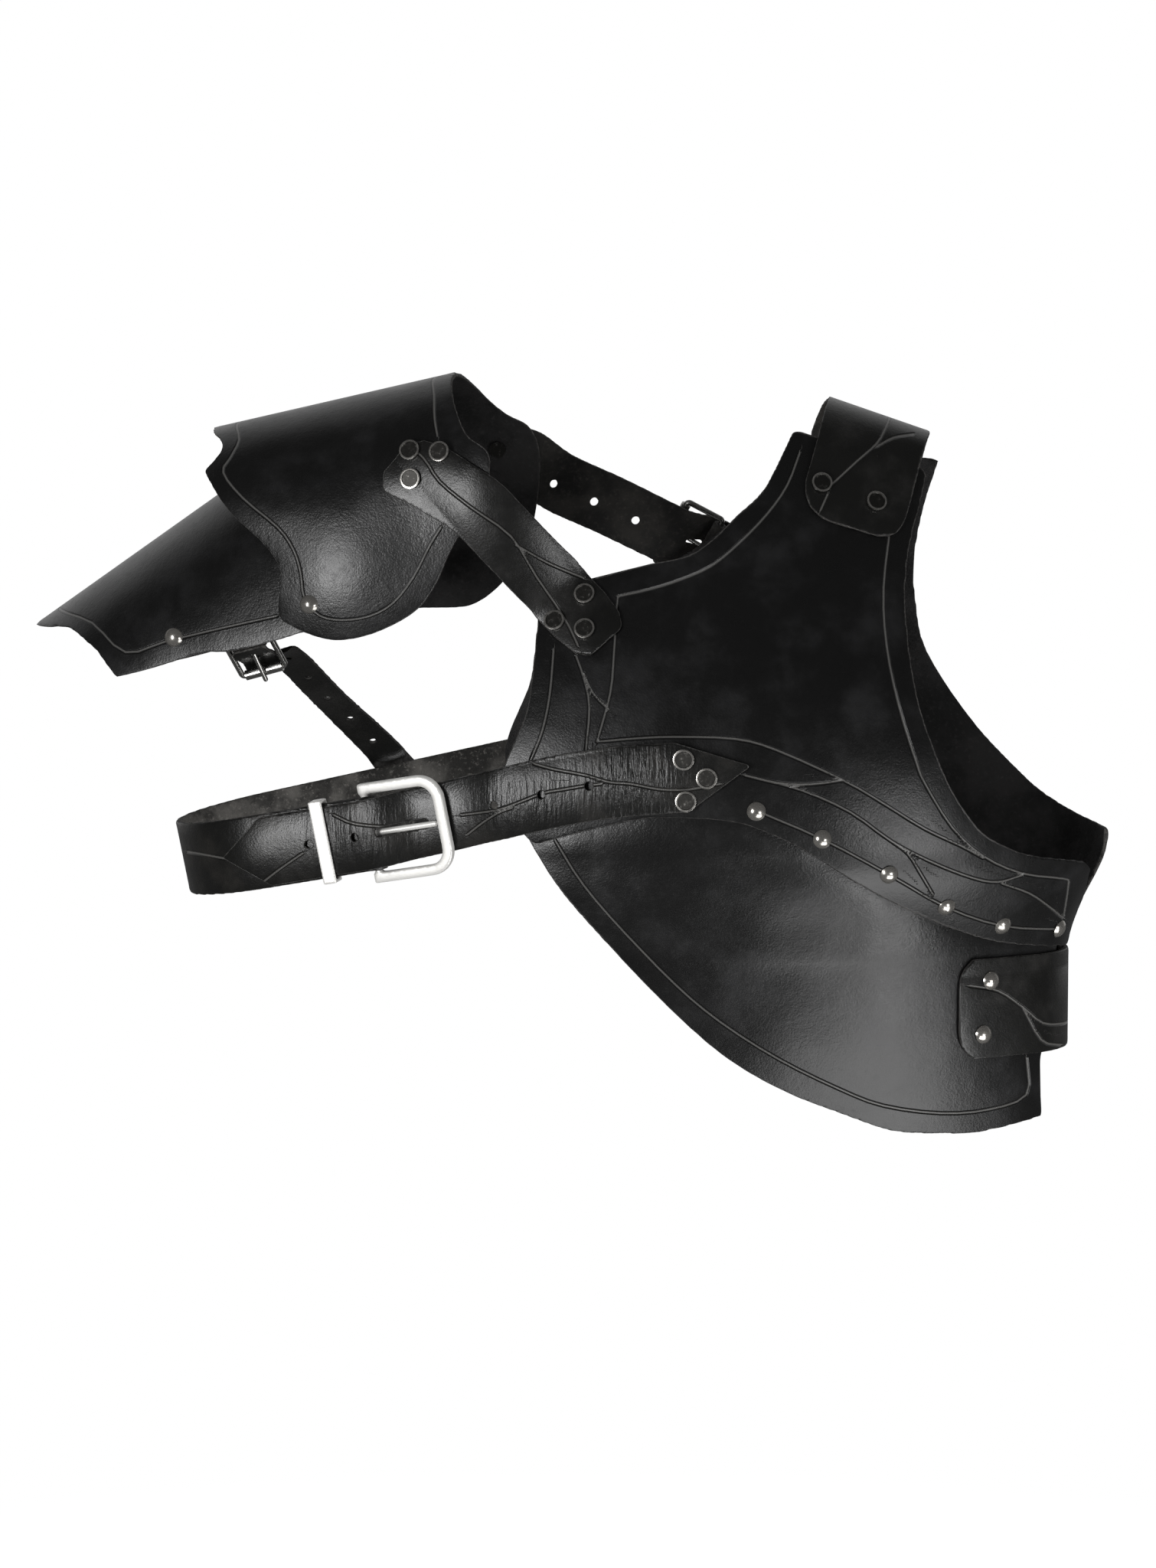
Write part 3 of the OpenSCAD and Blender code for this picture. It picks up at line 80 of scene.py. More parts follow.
class LeatherSettings(bpy.types.PropertyGroup):
    plate_black: FloatVectorProperty(
        name="Plate black", description="Dyed grain side of the plates", subtype="COLOR", size=4,
        min=0, max=1, default=linear("#080808"))
    strap_black: FloatVectorProperty(
        name="Strap black", description="Dyed grain side of the straps", subtype="COLOR", size=4,
        min=0, max=1, default=linear("#0b0b0a"))
    flesh_grey: FloatVectorProperty(
        name="Flesh side", description="Fibrous inner side of the belt", subtype="COLOR", size=4,
        min=0, max=1, default=linear("#4a4845"))
    plate_cell: FloatProperty(
        name="Plate mesh", description="Mesh spacing on the plates", subtype="DISTANCE", unit="LENGTH",
        min=0.8 * MM, max=4 * MM, default=1.25 * MM)
    strap_cell: FloatProperty(
        name="Strap mesh", description="Mesh spacing on the straps", subtype="DISTANCE", unit="LENGTH",
        min=0.5 * MM, max=3 * MM, default=1.0 * MM)
    line_width: FloatProperty(
        name="Tool width", description="Width of a tooled line", subtype="DISTANCE", unit="LENGTH",
        min=0.4 * MM, max=4 * MM, default=1.9 * MM)
    fairing: IntProperty(
        name="Fairing rounds", description="How often the moulded faces are smoothed", min=0, max=200,
        default=60)


class MetalSettings(bpy.types.PropertyGroup):
    nickel: FloatVectorProperty(
        name="Nickel", description="Satin nickel plate of the buckles", subtype="COLOR", size=4,
        min=0, max=1, default=linear("#d2d1ce"))
    antique: FloatVectorProperty(
        name="Antique rivet", description="Blackened face of the flat rivets", subtype="COLOR", size=4,
        min=0, max=1, default=linear("#403f3d"))
    bright: FloatVectorProperty(
        name="Dome rivet", description="Polished dome rivets", subtype="COLOR", size=4,
        min=0, max=1, default=linear("#9c9994"))
    rim_width: FloatProperty(
        name="Rim width", description="Rolled rim of a flat rivet", subtype="DISTANCE", unit="LENGTH",
        min=0.4 * MM, max=2 * MM, default=1.1 * MM)
    edge_round: FloatProperty(
        name="Edge round", description="Rounded edges of the cast buckle", subtype="DISTANCE",
        unit="LENGTH", min=0.1 * MM, max=2.2 * MM, default=1.6 * MM)


class StudioSettings(bpy.types.PropertyGroup):
    left_power: FloatProperty(
        name="Left lamp", description="Lamp on the left of the picture", unit="POWER", min=0, max=100,
        default=17)
    right_power: FloatProperty(
        name="Right lamp", description="Lamp on the right of the picture", unit="POWER", min=0, max=100,
        default=6)
    low_power: FloatProperty(
        name="Low lamp", description="Lamp near the floor in front", unit="POWER", min=0, max=100,
        default=1.8)
    floor_drop: FloatProperty(
        name="Floor", description="Height of the floor under the shoulder", subtype="DISTANCE",
        unit="LENGTH", min=-2, max=-0.6, default=-0.8)


# ---- Materials


def add(tree, kind, inputs=None, **settings):
    """A node with its settings; each input is a value or another node's output."""
    node = tree.nodes.new(kind)
    for name, value in settings.items():
        setattr(node, name, value)
    for name, value in (inputs or {}).items():
        socket = node.inputs[name]
        if isinstance(value, bpy.types.NodeSocket):
            tree.links.new(value, socket)
        else:
            socket.default_value = value
    return node


def empty_material(name):
    material = bpy.data.materials.new(name)
    material.use_nodes = True
    material.node_tree.nodes.clear()
    return material, material.node_tree


def finish_material(tree, shader):
    add(tree, "ShaderNodeOutputMaterial", {"Surface": shader.outputs[0]})


def between(tree, value, low, high, out_low=0.0, out_high=1.0):
    """The value mapped smoothly from low..high, and held beyond them."""
    return add(tree, "ShaderNodeMapRange",
               {"Value": value, "From Min": low, "From Max": high, "To Min": out_low, "To Max": out_high},
               interpolation_type="SMOOTHSTEP").outputs["Result"]


def math_of(tree, operation, a, b=0.0):
    return add(tree, "ShaderNodeMath", {0: a, 1: b}, operation=operation).outputs[0]


def mixed(tree, share, a, b):
    return add(tree, "ShaderNodeMix", {0: share, 6: a, 7: b}, data_type="RGBA").outputs[2]


def leather(name, black, worn, flesh, flesh_dark, sheen, line_width):
    """Vegetable-tanned cowhide, dyed black and waxed.

    The grain side has a soft sheen that varies over a few centimetres, the flesh side is matt and
    mottled with fibres, and the cut edge is a little lighter. Tooled lines are pressed in."""
    material, tree = empty_material(name)
    where = add(tree, "ShaderNodeTexCoord").outputs["Object"]
    side = add(tree, "ShaderNodeAttribute", attribute_name="side").outputs["Fac"]
    line = add(tree, "ShaderNodeAttribute", attribute_name="line").outputs["Fac"]
    near = add(tree, "ShaderNodeAttribute", attribute_name="near").outputs["Fac"]
    crease = add(tree, "ShaderNodeAttribute", attribute_name="crease").outputs["Fac"]
    run = add(tree, "ShaderNodeAttribute", attribute_name="run").outputs["Vector"]

    grain_side = between(tree, side, 0.45, 0.75)
    flesh_side = between(tree, math_of(tree, "MULTIPLY", side, -1.0), 0.45, 0.75)
    # Dye and wax lie unevenly over about 30 mm
    clouds = add(tree, "ShaderNodeTexNoise", {"Vector": where, "Scale": 34.0, "Detail": 5.0,
                                              "Roughness": 0.6}).outputs["Fac"]
    # Pores of the hide; the real ones are 0.3 mm, drawn at 1.1 mm so that they show
    pores = add(tree, "ShaderNodeTexVoronoi", {"Vector": where, "Scale": 900.0},
                feature="F1").outputs["Distance"]
    scuffs = add(tree, "ShaderNodeTexNoise", {"Vector": where, "Scale": 230.0, "Detail": 6.0,
                                              "Roughness": 0.7}).outputs["Fac"]
    # Loose fibres of the flesh side, about 1.5 mm long
    fibres = add(tree, "ShaderNodeTexNoise", {"Vector": where, "Scale": 420.0, "Detail": 4.0,
                                              "Roughness": 0.75}).outputs["Fac"]

    distance = math_of(tree, "ABSOLUTE", line)
    half = line_width / MM / 2
    pressed = between(tree, distance, 0.15 * half, 1.35 * half, 1.0, 0.0)
    pressed = math_of(tree, "MULTIPLY", pressed, near)
    # A painted highlight: lighter grey along each tooled line, standing in for the groove walls catching
    # the lamp
    painted_groove_highlight = between(tree, distance, 0.2 * half, 0.95 * half, 1.0, 0.0)
    painted_groove_highlight = math_of(tree, "MULTIPLY", painted_groove_highlight, near)

    skin = mixed(tree, between(tree, clouds, 0.45, 0.75, 0.0, 0.55), black, worn)
    # The painted highlight of the groove walls is mixed into the grain colour here
    skin = mixed(tree, math_of(tree, "MULTIPLY", painted_groove_highlight, 0.45), skin, linear("#5a5957"))
    inner = mixed(tree, between(tree, clouds, 0.4, 0.62), flesh_dark, flesh)
    inner = mixed(tree, between(tree, fibres, 0.52, 0.72, 0.0, 0.6), inner,
                  [min(1.0, c * 2.1) for c in flesh[:3]] + [1.0])
    edge = mixed(tree, between(tree, fibres, 0.35, 0.7), linear("#171615"), linear("#393735"))
    colour = mixed(tree, grain_side, edge, skin)
    colour = mixed(tree, flesh_side, colour, inner)

    gloss = between(tree, clouds, 0.3, 0.7, sheen - 0.03, sheen + 0.04)
    gloss = math_of(tree, "ADD", gloss, between(tree, scuffs, 0.5, 0.75, 0.0, 0.08))
    matt = math_of(tree, "SUBTRACT", 1.0, grain_side)
    roughness = math_of(tree, "ADD", gloss, math_of(tree, "MULTIPLY", matt, 0.42))

    # Wet-moulded leather is a little domed; the attribute holds the dome's height in millimetres
    crown = add(tree, "ShaderNodeAttribute", attribute_name="crown").outputs["Fac"]
    # The waist's hollow is eased on the belly: its share, times the form's own law over 60 mm
    share = add(tree, "ShaderNodeAttribute", attribute_name="waist").outputs["Fac"]
    height = add(tree, "ShaderNodeSeparateXYZ", {"Vector": run}).outputs["Y"]
    fall = add(tree, "ShaderNodeMapRange",
               {"Value": height, "From Min": -28.0, "From Max": -88.0}).outputs[0]
    square = math_of(tree, "MULTIPLY", fall, fall)
    bend = math_of(tree, "SUBTRACT", math_of(tree, "MULTIPLY", square, 66.0),
                   math_of(tree, "MULTIPLY", math_of(tree, "MULTIPLY", square, fall), 44.0))
    eased_waist = math_of(tree, "MULTIPLY", share, math_of(tree, "ADD", bend,
                                                           math_of(tree, "MULTIPLY", height, 0.12)))
    domed = add(tree, "ShaderNodeBump", {"Height": math_of(tree, "ADD", crown, eased_waist),
                                         "Strength": 1.0, "Distance": MM})
    swell = add(tree, "ShaderNodeTexNoise", {"Vector": where, "Scale": 26.0, "Detail": 1.0}).outputs["Fac"]
    wave = add(tree, "ShaderNodeBump", {"Height": swell, "Strength": 0.3, "Distance": 3 * MM,
                                        "Normal": domed.outputs[0]})
    grain = add(tree, "ShaderNodeBump", {"Height": pores, "Strength": 0.35, "Distance": 0.12 * MM,
                                         "Normal": wave.outputs[0]})
    hide = add(tree, "ShaderNodeBump", {"Height": scuffs, "Strength": 0.45, "Distance": 0.34 * MM,
                                        "Normal": grain.outputs[0]})
    # Creases run across the strap, 2 mm apart
    stretched = add(tree, "ShaderNodeMapping", {"Vector": run, "Scale": (0.46, 0.06, 1.0)}).outputs[0]
    folds = add(tree, "ShaderNodeTexNoise", {"Vector": stretched, "Scale": 1.0, "Detail": 3.0,
                                             "Roughness": 0.55}).outputs["Fac"]
    folded = add(tree, "ShaderNodeBump", {"Height": math_of(tree, "MULTIPLY", folds, crease),
                                          "Strength": 1.0, "Distance": 1.7 * MM,
                                          "Normal": hide.outputs[0]})
    tooled = add(tree, "ShaderNodeBump", {"Height": pressed, "Strength": 1.0, "Distance": 1.1 * MM,
                                          "Normal": folded.outputs[0]}, invert=True)
    fuzz = add(tree, "ShaderNodeBump", {"Height": math_of(tree, "MULTIPLY", fibres, matt),
                                        "Strength": 0.8, "Distance": 0.6 * MM,
                                        "Normal": tooled.outputs[0]})
    shader = add(tree, "ShaderNodeBsdfPrincipled", {"Base Color": colour, "Roughness": roughness,
                                                    "IOR": 1.46, "Specular IOR Level": 0.42,
                                                    "Normal": fuzz.outputs[0]})
    finish_material(tree, shader)
    return material


def nickel_plate(name, colour, roughness, metallic=1.0):
    """Nickel-plated cast or bent steel, satin brushed: fine scratches and a few dull spots.

    A tumbled casting scatters light like a pale matt surface as well as mirroring it, which a metallic
    share below one stands for."""
    material, tree = empty_material(name)
    where = add(tree, "ShaderNodeTexCoord").outputs["Object"]
    # Brush lines 0.2 mm apart, drawn at 0.8 mm so that they show
    long = add(tree, "ShaderNodeMapping", {"Vector": where, "Scale": (160.0, 1200.0, 1200.0)}).outputs[0]
    brush = add(tree, "ShaderNodeTexNoise", {"Vector": long, "Scale": 1.0, "Detail": 3.0}).outputs["Fac"]
    spots = add(tree, "ShaderNodeTexNoise", {"Vector": where, "Scale": 210.0, "Detail": 5.0,
                                             "Roughness": 0.65}).outputs["Fac"]
    dulled = [c * 0.7 for c in colour[:3]] + [1]
    tint = mixed(tree, between(tree, spots, 0.45, 0.8, 0.0, 0.3), colour, dulled)
    dull = math_of(tree, "ADD", between(tree, spots, 0.35, 0.75, roughness - 0.03, roughness + 0.07),
                   between(tree, brush, 0.3, 0.7, -0.03, 0.05))
    bump = add(tree, "ShaderNodeBump", {"Height": brush, "Strength": 0.25, "Distance": 0.08 * MM})
    shader = add(tree, "ShaderNodeBsdfPrincipled", {"Base Color": tint, "Metallic": metallic,
                                                    "Roughness": dull, "Normal": bump.outputs[0]})
    finish_material(tree, shader)
    return material


def rivet_metal(name, face, rim):
    """Blackened nickel cap whose rolled rim is rubbed bright."""
    material, tree = empty_material(name)
    where = add(tree, "ShaderNodeTexCoord").outputs["Object"]
    rubbed = add(tree, "ShaderNodeAttribute", attribute_name="rim").outputs["Fac"]
    spots = add(tree, "ShaderNodeTexNoise", {"Vector": where, "Scale": 480.0, "Detail": 5.0,
                                             "Roughness": 0.7}).outputs["Fac"]
    share = math_of(tree, "MULTIPLY", between(tree, rubbed, 0.25, 0.8),
                    between(tree, spots, 0.3, 0.55, 0.85, 1.0))
    colour = mixed(tree, share, face, rim)
    colour = mixed(tree, between(tree, spots, 0.55, 0.75, 0.0, 0.35), colour, rim)
    dull = math_of(tree, "ADD", between(tree, spots, 0.35, 0.75, 0.2, 0.34),
                   math_of(tree, "MULTIPLY", math_of(tree, "SUBTRACT", 1.0, share), 0.18))
    bump = add(tree, "ShaderNodeBump", {"Height": spots, "Strength": 0.3, "Distance": 0.12 * MM})
    shader = add(tree, "ShaderNodeBsdfPrincipled", {"Base Color": colour, "Metallic": 1.0,
                                                    "Roughness": dull, "Normal": bump.outputs[0]})
    finish_material(tree, shader)
    return material


# ---- Shapes


def alone(piece):
    """Selects one piece and makes it the active one."""
    bpy.ops.object.select_all(action="DESELECT")
    piece.hide_set(False)
    piece.select_set(True)
    bpy.context.view_layer.objects.active = piece


def copy_of(node, name):
    """A merged copy of a CAD node's mesh, as a piece of its own."""
    piece = bpy.data.objects.new(name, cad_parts[node].data.copy())
    bpy.context.scene.collection.objects.link(piece)
    piece.data.materials.clear()
    alone(piece)
    bpy.ops.object.mode_set(mode="EDIT")
    bpy.ops.mesh.select_all(action="SELECT")
    bpy.ops.mesh.remove_doubles(threshold=1e-6)
    bpy.ops.mesh.customdata_custom_splitnormals_clear()
    bpy.ops.object.mode_set(mode="OBJECT")
    for layer in list(piece.data.uv_layers):
        piece.data.uv_layers.remove(layer)
    return piece


def applied(piece, kind, **settings):
    alone(piece)
    modifier = piece.modifiers.new(kind.title(), kind)
    for name, value in settings.items():
        setattr(modifier, name, value)
    bpy.ops.object.modifier_apply(modifier=modifier.name)


def points_of(mesh):
    points = np.empty(len(mesh.vertices) * 3)
    mesh.vertices.foreach_get("co", points)
    return points.reshape(-1, 3)


def normals_of(mesh):
    normals = np.empty(len(mesh.vertices) * 3)
    mesh.vertex_normals.foreach_get("vector", normals)
    return normals.reshape(-1, 3)


def neighbours(mesh):
    """Both ends of every edge, once in each direction."""
    edges = np.empty(len(mesh.edges) * 2, np.int64)
    mesh.edges.foreach_get("vertices", edges)
    edges = edges.reshape(-1, 2)
    return np.concatenate([edges[:, 0], edges[:, 1]]), np.concatenate([edges[:, 1], edges[:, 0]])


def shade_evenly(mesh, rounds):
    """Shading normals averaged over the neighbourhood, though not across a cut edge."""
    start, end = neighbours(mesh)
    normals = normals_of(mesh)
    count = len(normals)
    alike = np.clip(np.einsum("ij,ij->i", normals[start], normals[end]), 0, 1) ** 40
    for _ in range(rounds):
        pull = np.stack([np.bincount(start, alike * normals[end, axis], count) for axis in range(3)], 1)
        normals = unit(pull + 0.05 * normals)
    mesh.normals_split_custom_set_from_vertices(normals.tolist())


def fair(mesh, rounds):
    """Evens out the flat facets of a moulded face and keeps its cut edges, without shrinking it."""
    start, end = neighbours(mesh)
    points = points_of(mesh)
    count = len(points)
    # The first rounds take the steps of the grid off the cut edges
    valence = np.bincount(start, minlength=count)[:, None]
    for step in (0.5, -0.53) * 5:
        pull = np.stack([np.bincount(start, points[end, axis], count) for axis in range(3)], 1)
        points += step * (pull / valence - points)
    for turn in range(rounds):
        if turn % 8 == 0:
            mesh.vertices.foreach_set("co", points.ravel())
            mesh.update()
            normals = normals_of(mesh)
            alike = np.clip(np.einsum("ij,ij->i", normals[start], normals[end]), 0, 1) ** 10
            total = np.bincount(start, alike, count) + 1e-9
        for step in (0.6, -0.62):
            rise = np.einsum("ij,ij->i", points[end] - points[start], normals[start])
            points += (step * np.bincount(start, alike * rise, count) / total)[:, None] * normals
    mesh.vertices.foreach_set("co", points.ravel())
    mesh.update()


def eased(line, steps=3):
    """A smooth curve through the points of a line."""
    line = np.array(line, float)
    if len(line) < 3:
        return line
    ends = np.vstack([2 * line[0] - line[1], line, 2 * line[-1] - line[-2]])
    made = []
    for k in range(1, len(line)):
        a, b, c, d = ends[k - 1 : k + 3]
        for t in np.arange(steps) / steps:
            made.append(0.5 * (2 * b + (c - a) * t + (2 * a - 5 * b + 4 * c - d) * t * t
                               + (3 * b - a - 3 * c + d) * t ** 3))
    made.append(line[-1])
    return np.array(made)


def from_lines(points, lines):
    """Signed distance of each flat point from the nearest tooled line, and whether it is clear.

    Between two lines the sign can flip, which would draw a false line there."""
    best = np.full(len(points), 50.0)
    other = np.full(len(points), 50.0)
    for line in lines:
        curve = eased(line)
        low, high = curve.min(0) - 6, curve.max(0) + 6
        close = np.flatnonzero(((points > low) & (points < high)).all(1))
        if not len(close):
            continue
        chosen = points[close]
        found = np.full(len(chosen), 50.0)
        for a, b in zip(curve[:-1], curve[1:]):
            along = b - a
            share = np.clip((chosen - a) @ along / max(along @ along, 1e-9), 0, 1)
            gap = chosen - a - share[:, None] * along
            far = np.hypot(gap[:, 0], gap[:, 1])
            signed = np.where(along[0] * gap[:, 1] - along[1] * gap[:, 0] >= 0, far, -far)
            nearer = far < np.abs(found)
            found[nearer] = signed[nearer]
        nearer = np.abs(found) < np.abs(best[close])
        passed = np.where(nearer, best[close], found)
        other[close] = np.where(np.abs(passed) < np.abs(other[close]), passed, other[close])
        best[close] = np.where(nearer, found, best[close])
    muddled = (np.abs(best) > 0.9) & (np.abs(other) < 5) & (best * other < 0)
    return best, ~muddled


def number(mesh, name, values):
    layer = mesh.attributes.new(name, "FLOAT", "POINT")
    layer.data.foreach_set("value", np.asarray(values, np.float32))


def unit(vectors):
    return vectors / np.maximum(np.linalg.norm(vectors, axis=1), 1e-9)[:, None]


def round_the_body(low=-0.30, high=0.06):
    """Outward direction of what lies round the chest: away from a line between its two sides."""
    def outward(points):
        away = points.copy()
        away[:, 0] -= np.clip(points[:, 0], low, high)
        away[:, 2] = 0
        return unit(away)
    return outward


def facing(*direction):
    return lambda points: unit(np.tile(np.array(direction, float), (len(points), 1)))


def away_from(*middle):
    """Outward direction round an axis along X through a place."""
    def outward(points):
        away = points - np.array(middle)
        away[:, 0] = 0
        return unit(away)
    return outward


class Arch:
    """The shape of a pauldron piece: an arch along its own X, with straight flaps below."""

    def __init__(self, place, along, up, radius, crest):
        self.place = np.array(place) * MM
        self.along = np.array(along)
        self.up = np.array(up)
        self.back = np.cross(self.up, self.along)
        self.radius, self.crest = radius * MM, crest * MM

    def own(self, points):
        shifted = points - self.place
        return np.stack([shifted @ self.along, shifted @ self.back, shifted @ self.up], 1)

    def outward(self, points):
        local = self.own(points)
        lift = np.maximum(local[:, 2] - (self.crest - self.radius), 0)
        away = local[:, 1:2] * self.back + lift[:, None] * self.up
        return unit(away)

    def flat(self, points):
        return self.own(points)[:, [0, 2]] / MM


def laid_out(points):
    """Millimetres on the front view, counted from the picture's middle."""
    return points[:, [0, 2]] / MM + np.array([164.0, 200.0])


def seen(points):
    """Millimetres on the picture, as the camera sees the place."""
    ahead = np.array([0, math.cos(CAMERA_RISE), -math.sin(CAMERA_RISE)])
    up = np.array([0, math.sin(CAMERA_RISE), math.cos(CAMERA_RISE)])
    shifted = points - np.array(VIEW_CENTRE)
    shrink = CAMERA_DISTANCE / (CAMERA_DISTANCE + shifted @ ahead)
    return np.stack([shifted[:, 0] * shrink, shifted @ up * shrink], 1) / MM


def hide_piece(node, name, material, body, outward, cell, rounds=60, lines=(), flat=laid_out,
               creases=(), front_only=False, crowned=None, waist=0.0):
    """A leather piece in place of its CAD node: evenly meshed, soft at its cut edges, tooled."""
    piece = copy_of(node, name)
    applied(piece, "REMESH", mode="VOXEL", voxel_size=cell, adaptivity=0)
    mesh = piece.data
    fair(mesh, rounds)
    points, normals = points_of(mesh), normals_of(mesh)
    side = np.einsum("ij,ij->i", normals, outward(points))
    number(mesh, "side", side)
    places = flat(points)
    line = np.full(len(points), 50.0)
    clear = np.ones(len(points), bool)
    tooled = side > 0.3
    if front_only:
        tooled &= normals[:, 1] < 0
    if len(lines):
        line[tooled], clear[tooled] = from_lines(places[tooled], lines)
    number(mesh, "line", np.clip(line, -6, 6))
    number(mesh, "near", np.clip(5.5 - np.abs(line), 0, 1) * clear)
    crease = np.zeros(len(points))
    for x, z, wide, high, depth in creases:
        crease = np.maximum(crease, depth * np.exp(-(((places[:, 0] - x) / wide) ** 2
                                                     + ((places[:, 1] - z) / high) ** 2)))
    number(mesh, "crease", crease * (side > 0))
    number(mesh, "crown", crowned(points) if crowned else np.zeros(len(points)))
    number(mesh, "waist", np.full(len(points), waist))
    run = mesh.attributes.new("run", "FLOAT_VECTOR", "POINT")
    laid = np.column_stack([places, np.zeros(len(places))]).astype(np.float32)
    run.data.foreach_set("vector", laid.ravel())
    mesh.polygons.foreach_set("use_smooth", np.ones(len(mesh.polygons), bool))
    shade_evenly(mesh, 3 * rounds)
    mesh.materials.append(material)
    if isinstance(body, str):
        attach(piece, body)
    else:
        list(body)
        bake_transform(piece)
    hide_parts(node)
    return piece


def material_of(name):
    """A material made once and then shared."""
    found = bpy.data.materials.get(name)
    if found:
        return found
    hides = bpy.context.scene.cuirass_leather
    metal = bpy.context.scene.cuirass_metal
    plate, strap, flesh = (list(hides.plate_black), list(hides.strap_black), list(hides.flesh_grey))
    if name == "waxed plate leather":
        return leather(name, plate, linear("#1b1b1c"), linear("#1c1b1b"), linear("#0d0d0d"), 0.3,
                       hides.line_width)
    if name == "bridle strap leather":
        return leather(name, strap, linear("#222120"), linear("#24221f"), linear("#121110"), 0.31,
                       hides.line_width)
    if name == "belt leather with bare flesh side":
        return leather(name, strap, linear("#24221f"), flesh, linear("#1b1a18"), 0.3, hides.line_width)
    if name == "satin nickel":
        return nickel_plate(name, list(metal.nickel), 0.36, 0.5)
    if name == "bent nickel wire":
        return nickel_plate(name, [c * 0.62 for c in list(metal.nickel)[:3]] + [1], 0.24)
    if name == "polished dome":
        return nickel_plate(name, list(metal.bright), 0.2, 0.9)
    return rivet_metal(name, list(metal.antique), linear("#c9c6c1"))


# ---- Tooled lines, in millimetres on each piece's own flat view

BREAST_LINES = [
    [(119, 183), (112, 166), (101, 151), (86, 136), (71, 124), (55, 117), (39, 112), (21, 108)],
    [(168, 147), (163, 112), (164, 82), (170, 51), (179, 22), (184, 10), (199, -14), (216, -30), (238, -41),
     (262, -46), (265, -50), (264, -68)],
    [(21, 107), (19, 78), (17, 58), (10, 33)],
    [(-13, 80), (-15, 57), (-19, 38), (-25, 23)],
    [(-1, 77), (3, 66), (6, 51), (4, 27)],
    [(3, 68), (8, 58), (16, 50)],
    [(10, 33), (30, 35), (51, 36), (83, 35), (105, 29), (140, 13), (162, 0), (184, -14), (204, -24),
     (216, -31)],
    [(88, 16), (105, 12), (122, 11), (140, 13)],
    [(92, 15), (118, 8), (144, -4), (166, -20), (188, -32), (211, -42), (225, -45), (238, -42)],
    [(166, -20), (175, -27), (182, -38), (189, -50)],
    [(227, -46), (243, -53), (255, -62), (264, -70)],
    [(95, -3), (129, -18), (165, -38), (197, -58), (229, -71), (262, -76)],
]
BELLY_LINES = [
    [(-12, -20), (3, -44), (25, -71), (52, -99), (76, -119), (107, -139), (140, -156), (164, -166),
     (196, -172), (223, -172), (244, -166), (244, -146)],
]
UPPER_BACK_LINES = [
    [(112, 180), (102, 161), (91, 144), (76, 130), (58, 116), (38, 107), (12, 97), (-10, 91)],
    [(186, 170), (179, 133), (178, 94), (184, 70), (196, 48), (218, 18), (241, -7), (258, -19), (276, -28)],
    [(95, -3), (129, -18), (165, -38), (197, -58), (229, -71), (262, -76)],
    [(10, 33), (51, 36), (83, 35), (105, 29), (140, 13), (162, 0), (184, -14), (216, -31)],
]
LOWER_BACK_LINES = BELLY_LINES
CAP_LINES = [
    [(-55, 0), (-49, -10), (-53, -19), (-57, -26), (-47, -42), (-31, -61), (-25, -75), (-24, -88),
     (-25, -101), (-19, -112), (-7, -117), (8, -118), (22, -114), (36, -103), (48, -89), (57, -80)],
    [(58, 0), (62, -10), (63, -23), (64, -32)],
]
LAME_LINES = [[(-131, 81), (-111, 61), (-101, 36), (-78, 28), (-44, 15), (-19, 5)]]
SIDE_STRAP_LINES = [
    [(211, -103), (227, -107), (241, -117), (253, -127), (269, -130)],
    [(241, -117), (252, -136), (264, -141)],
]
SHOULDER_STRAP_LINES = [
    [(171, 201), (169, 196), (164, 187), (153, 177), (139, 164)],
    [(137, 159), (133, 150)],
    [(164, 185), (173, 190), (184, 192)],
]
FRONT_STRAP_LINES = [
    [(-102, 194), (-85, 179), (-76, 166), (-59, 152), (-37, 136), (-23, 114), (-8, 92), (0, 76)],
    [(-34, 131), (-16, 121), (3, 113)],
]
TONGUE_LINES = [
    [(-24, 11), (-13, 8), (3, 5), (17, 1), (29, 0), (45, -3), (61, -3), (78, 0)],
    [(-64, -17), (-48, -15), (-40, -13), (-32, -10), (-19, -5), (-8, -3), (4, -1), (13, 0)],
    [(-61, -28), (-52, -21), (-44, -16), (-36, -13)],
    [(-134, -17), (-122, -22), (-99, -24)],
    [(-173, -54), (-164, -47), (-151, -38)],
]
LOOP_LINES = [[(-214, -37), (-193, -41)]]
# Creases of the tongue: place, width, height, depth
TONGUE_CREASES = [(28, 2, 26, 22, 0.9), (-30, -12, 22, 20, 0.45), (-120, -30, 30, 20, 0.35)]


def strap_crown(flat, middle, across, half, height=1.1):
    """Height of a strap whose middle stands above its edges, across a line on its flat view."""
    def crowned(points):
        off = (flat(points) - np.array(middle)) @ np.array(across) / half
        return height * (1 - np.clip(off, -1.2, 1.2) ** 2)
    return crowned


def spot_crown(flat, x, z, wide, high, height):
    """Height of a round dome moulded into a plate."""
    def crowned(points):
        places = flat(points)
        return height * np.exp(-((places[:, 0] - x) / wide) ** 2 - ((places[:, 1] - z) / high) ** 2)
    return crowned


# The lower edge of the waist band, under which the belly tucks in
BAND_EDGE = [(8, -13), (36, -7), (62, -7), (88, -10), (118, -23), (149, -43), (171, -56), (199, -70),
             (226, -80), (255, -85), (268, -87)]
BELLY_DOME = spot_crown(laid_out, 170, -115, 90, 60, 4)


def tucked_belly(points):
    """The belly's dome, drawn in by 1.8 mm along the waist band that laps over it."""
    places = laid_out(points)
    edge = np.interp(places[:, 0], [x for x, z in BAND_EDGE], [z for x, z in BAND_EDGE])
    return BELLY_DOME(points) - 1.8 * np.exp(-np.maximum(edge - places[:, 1], 0) / 10)


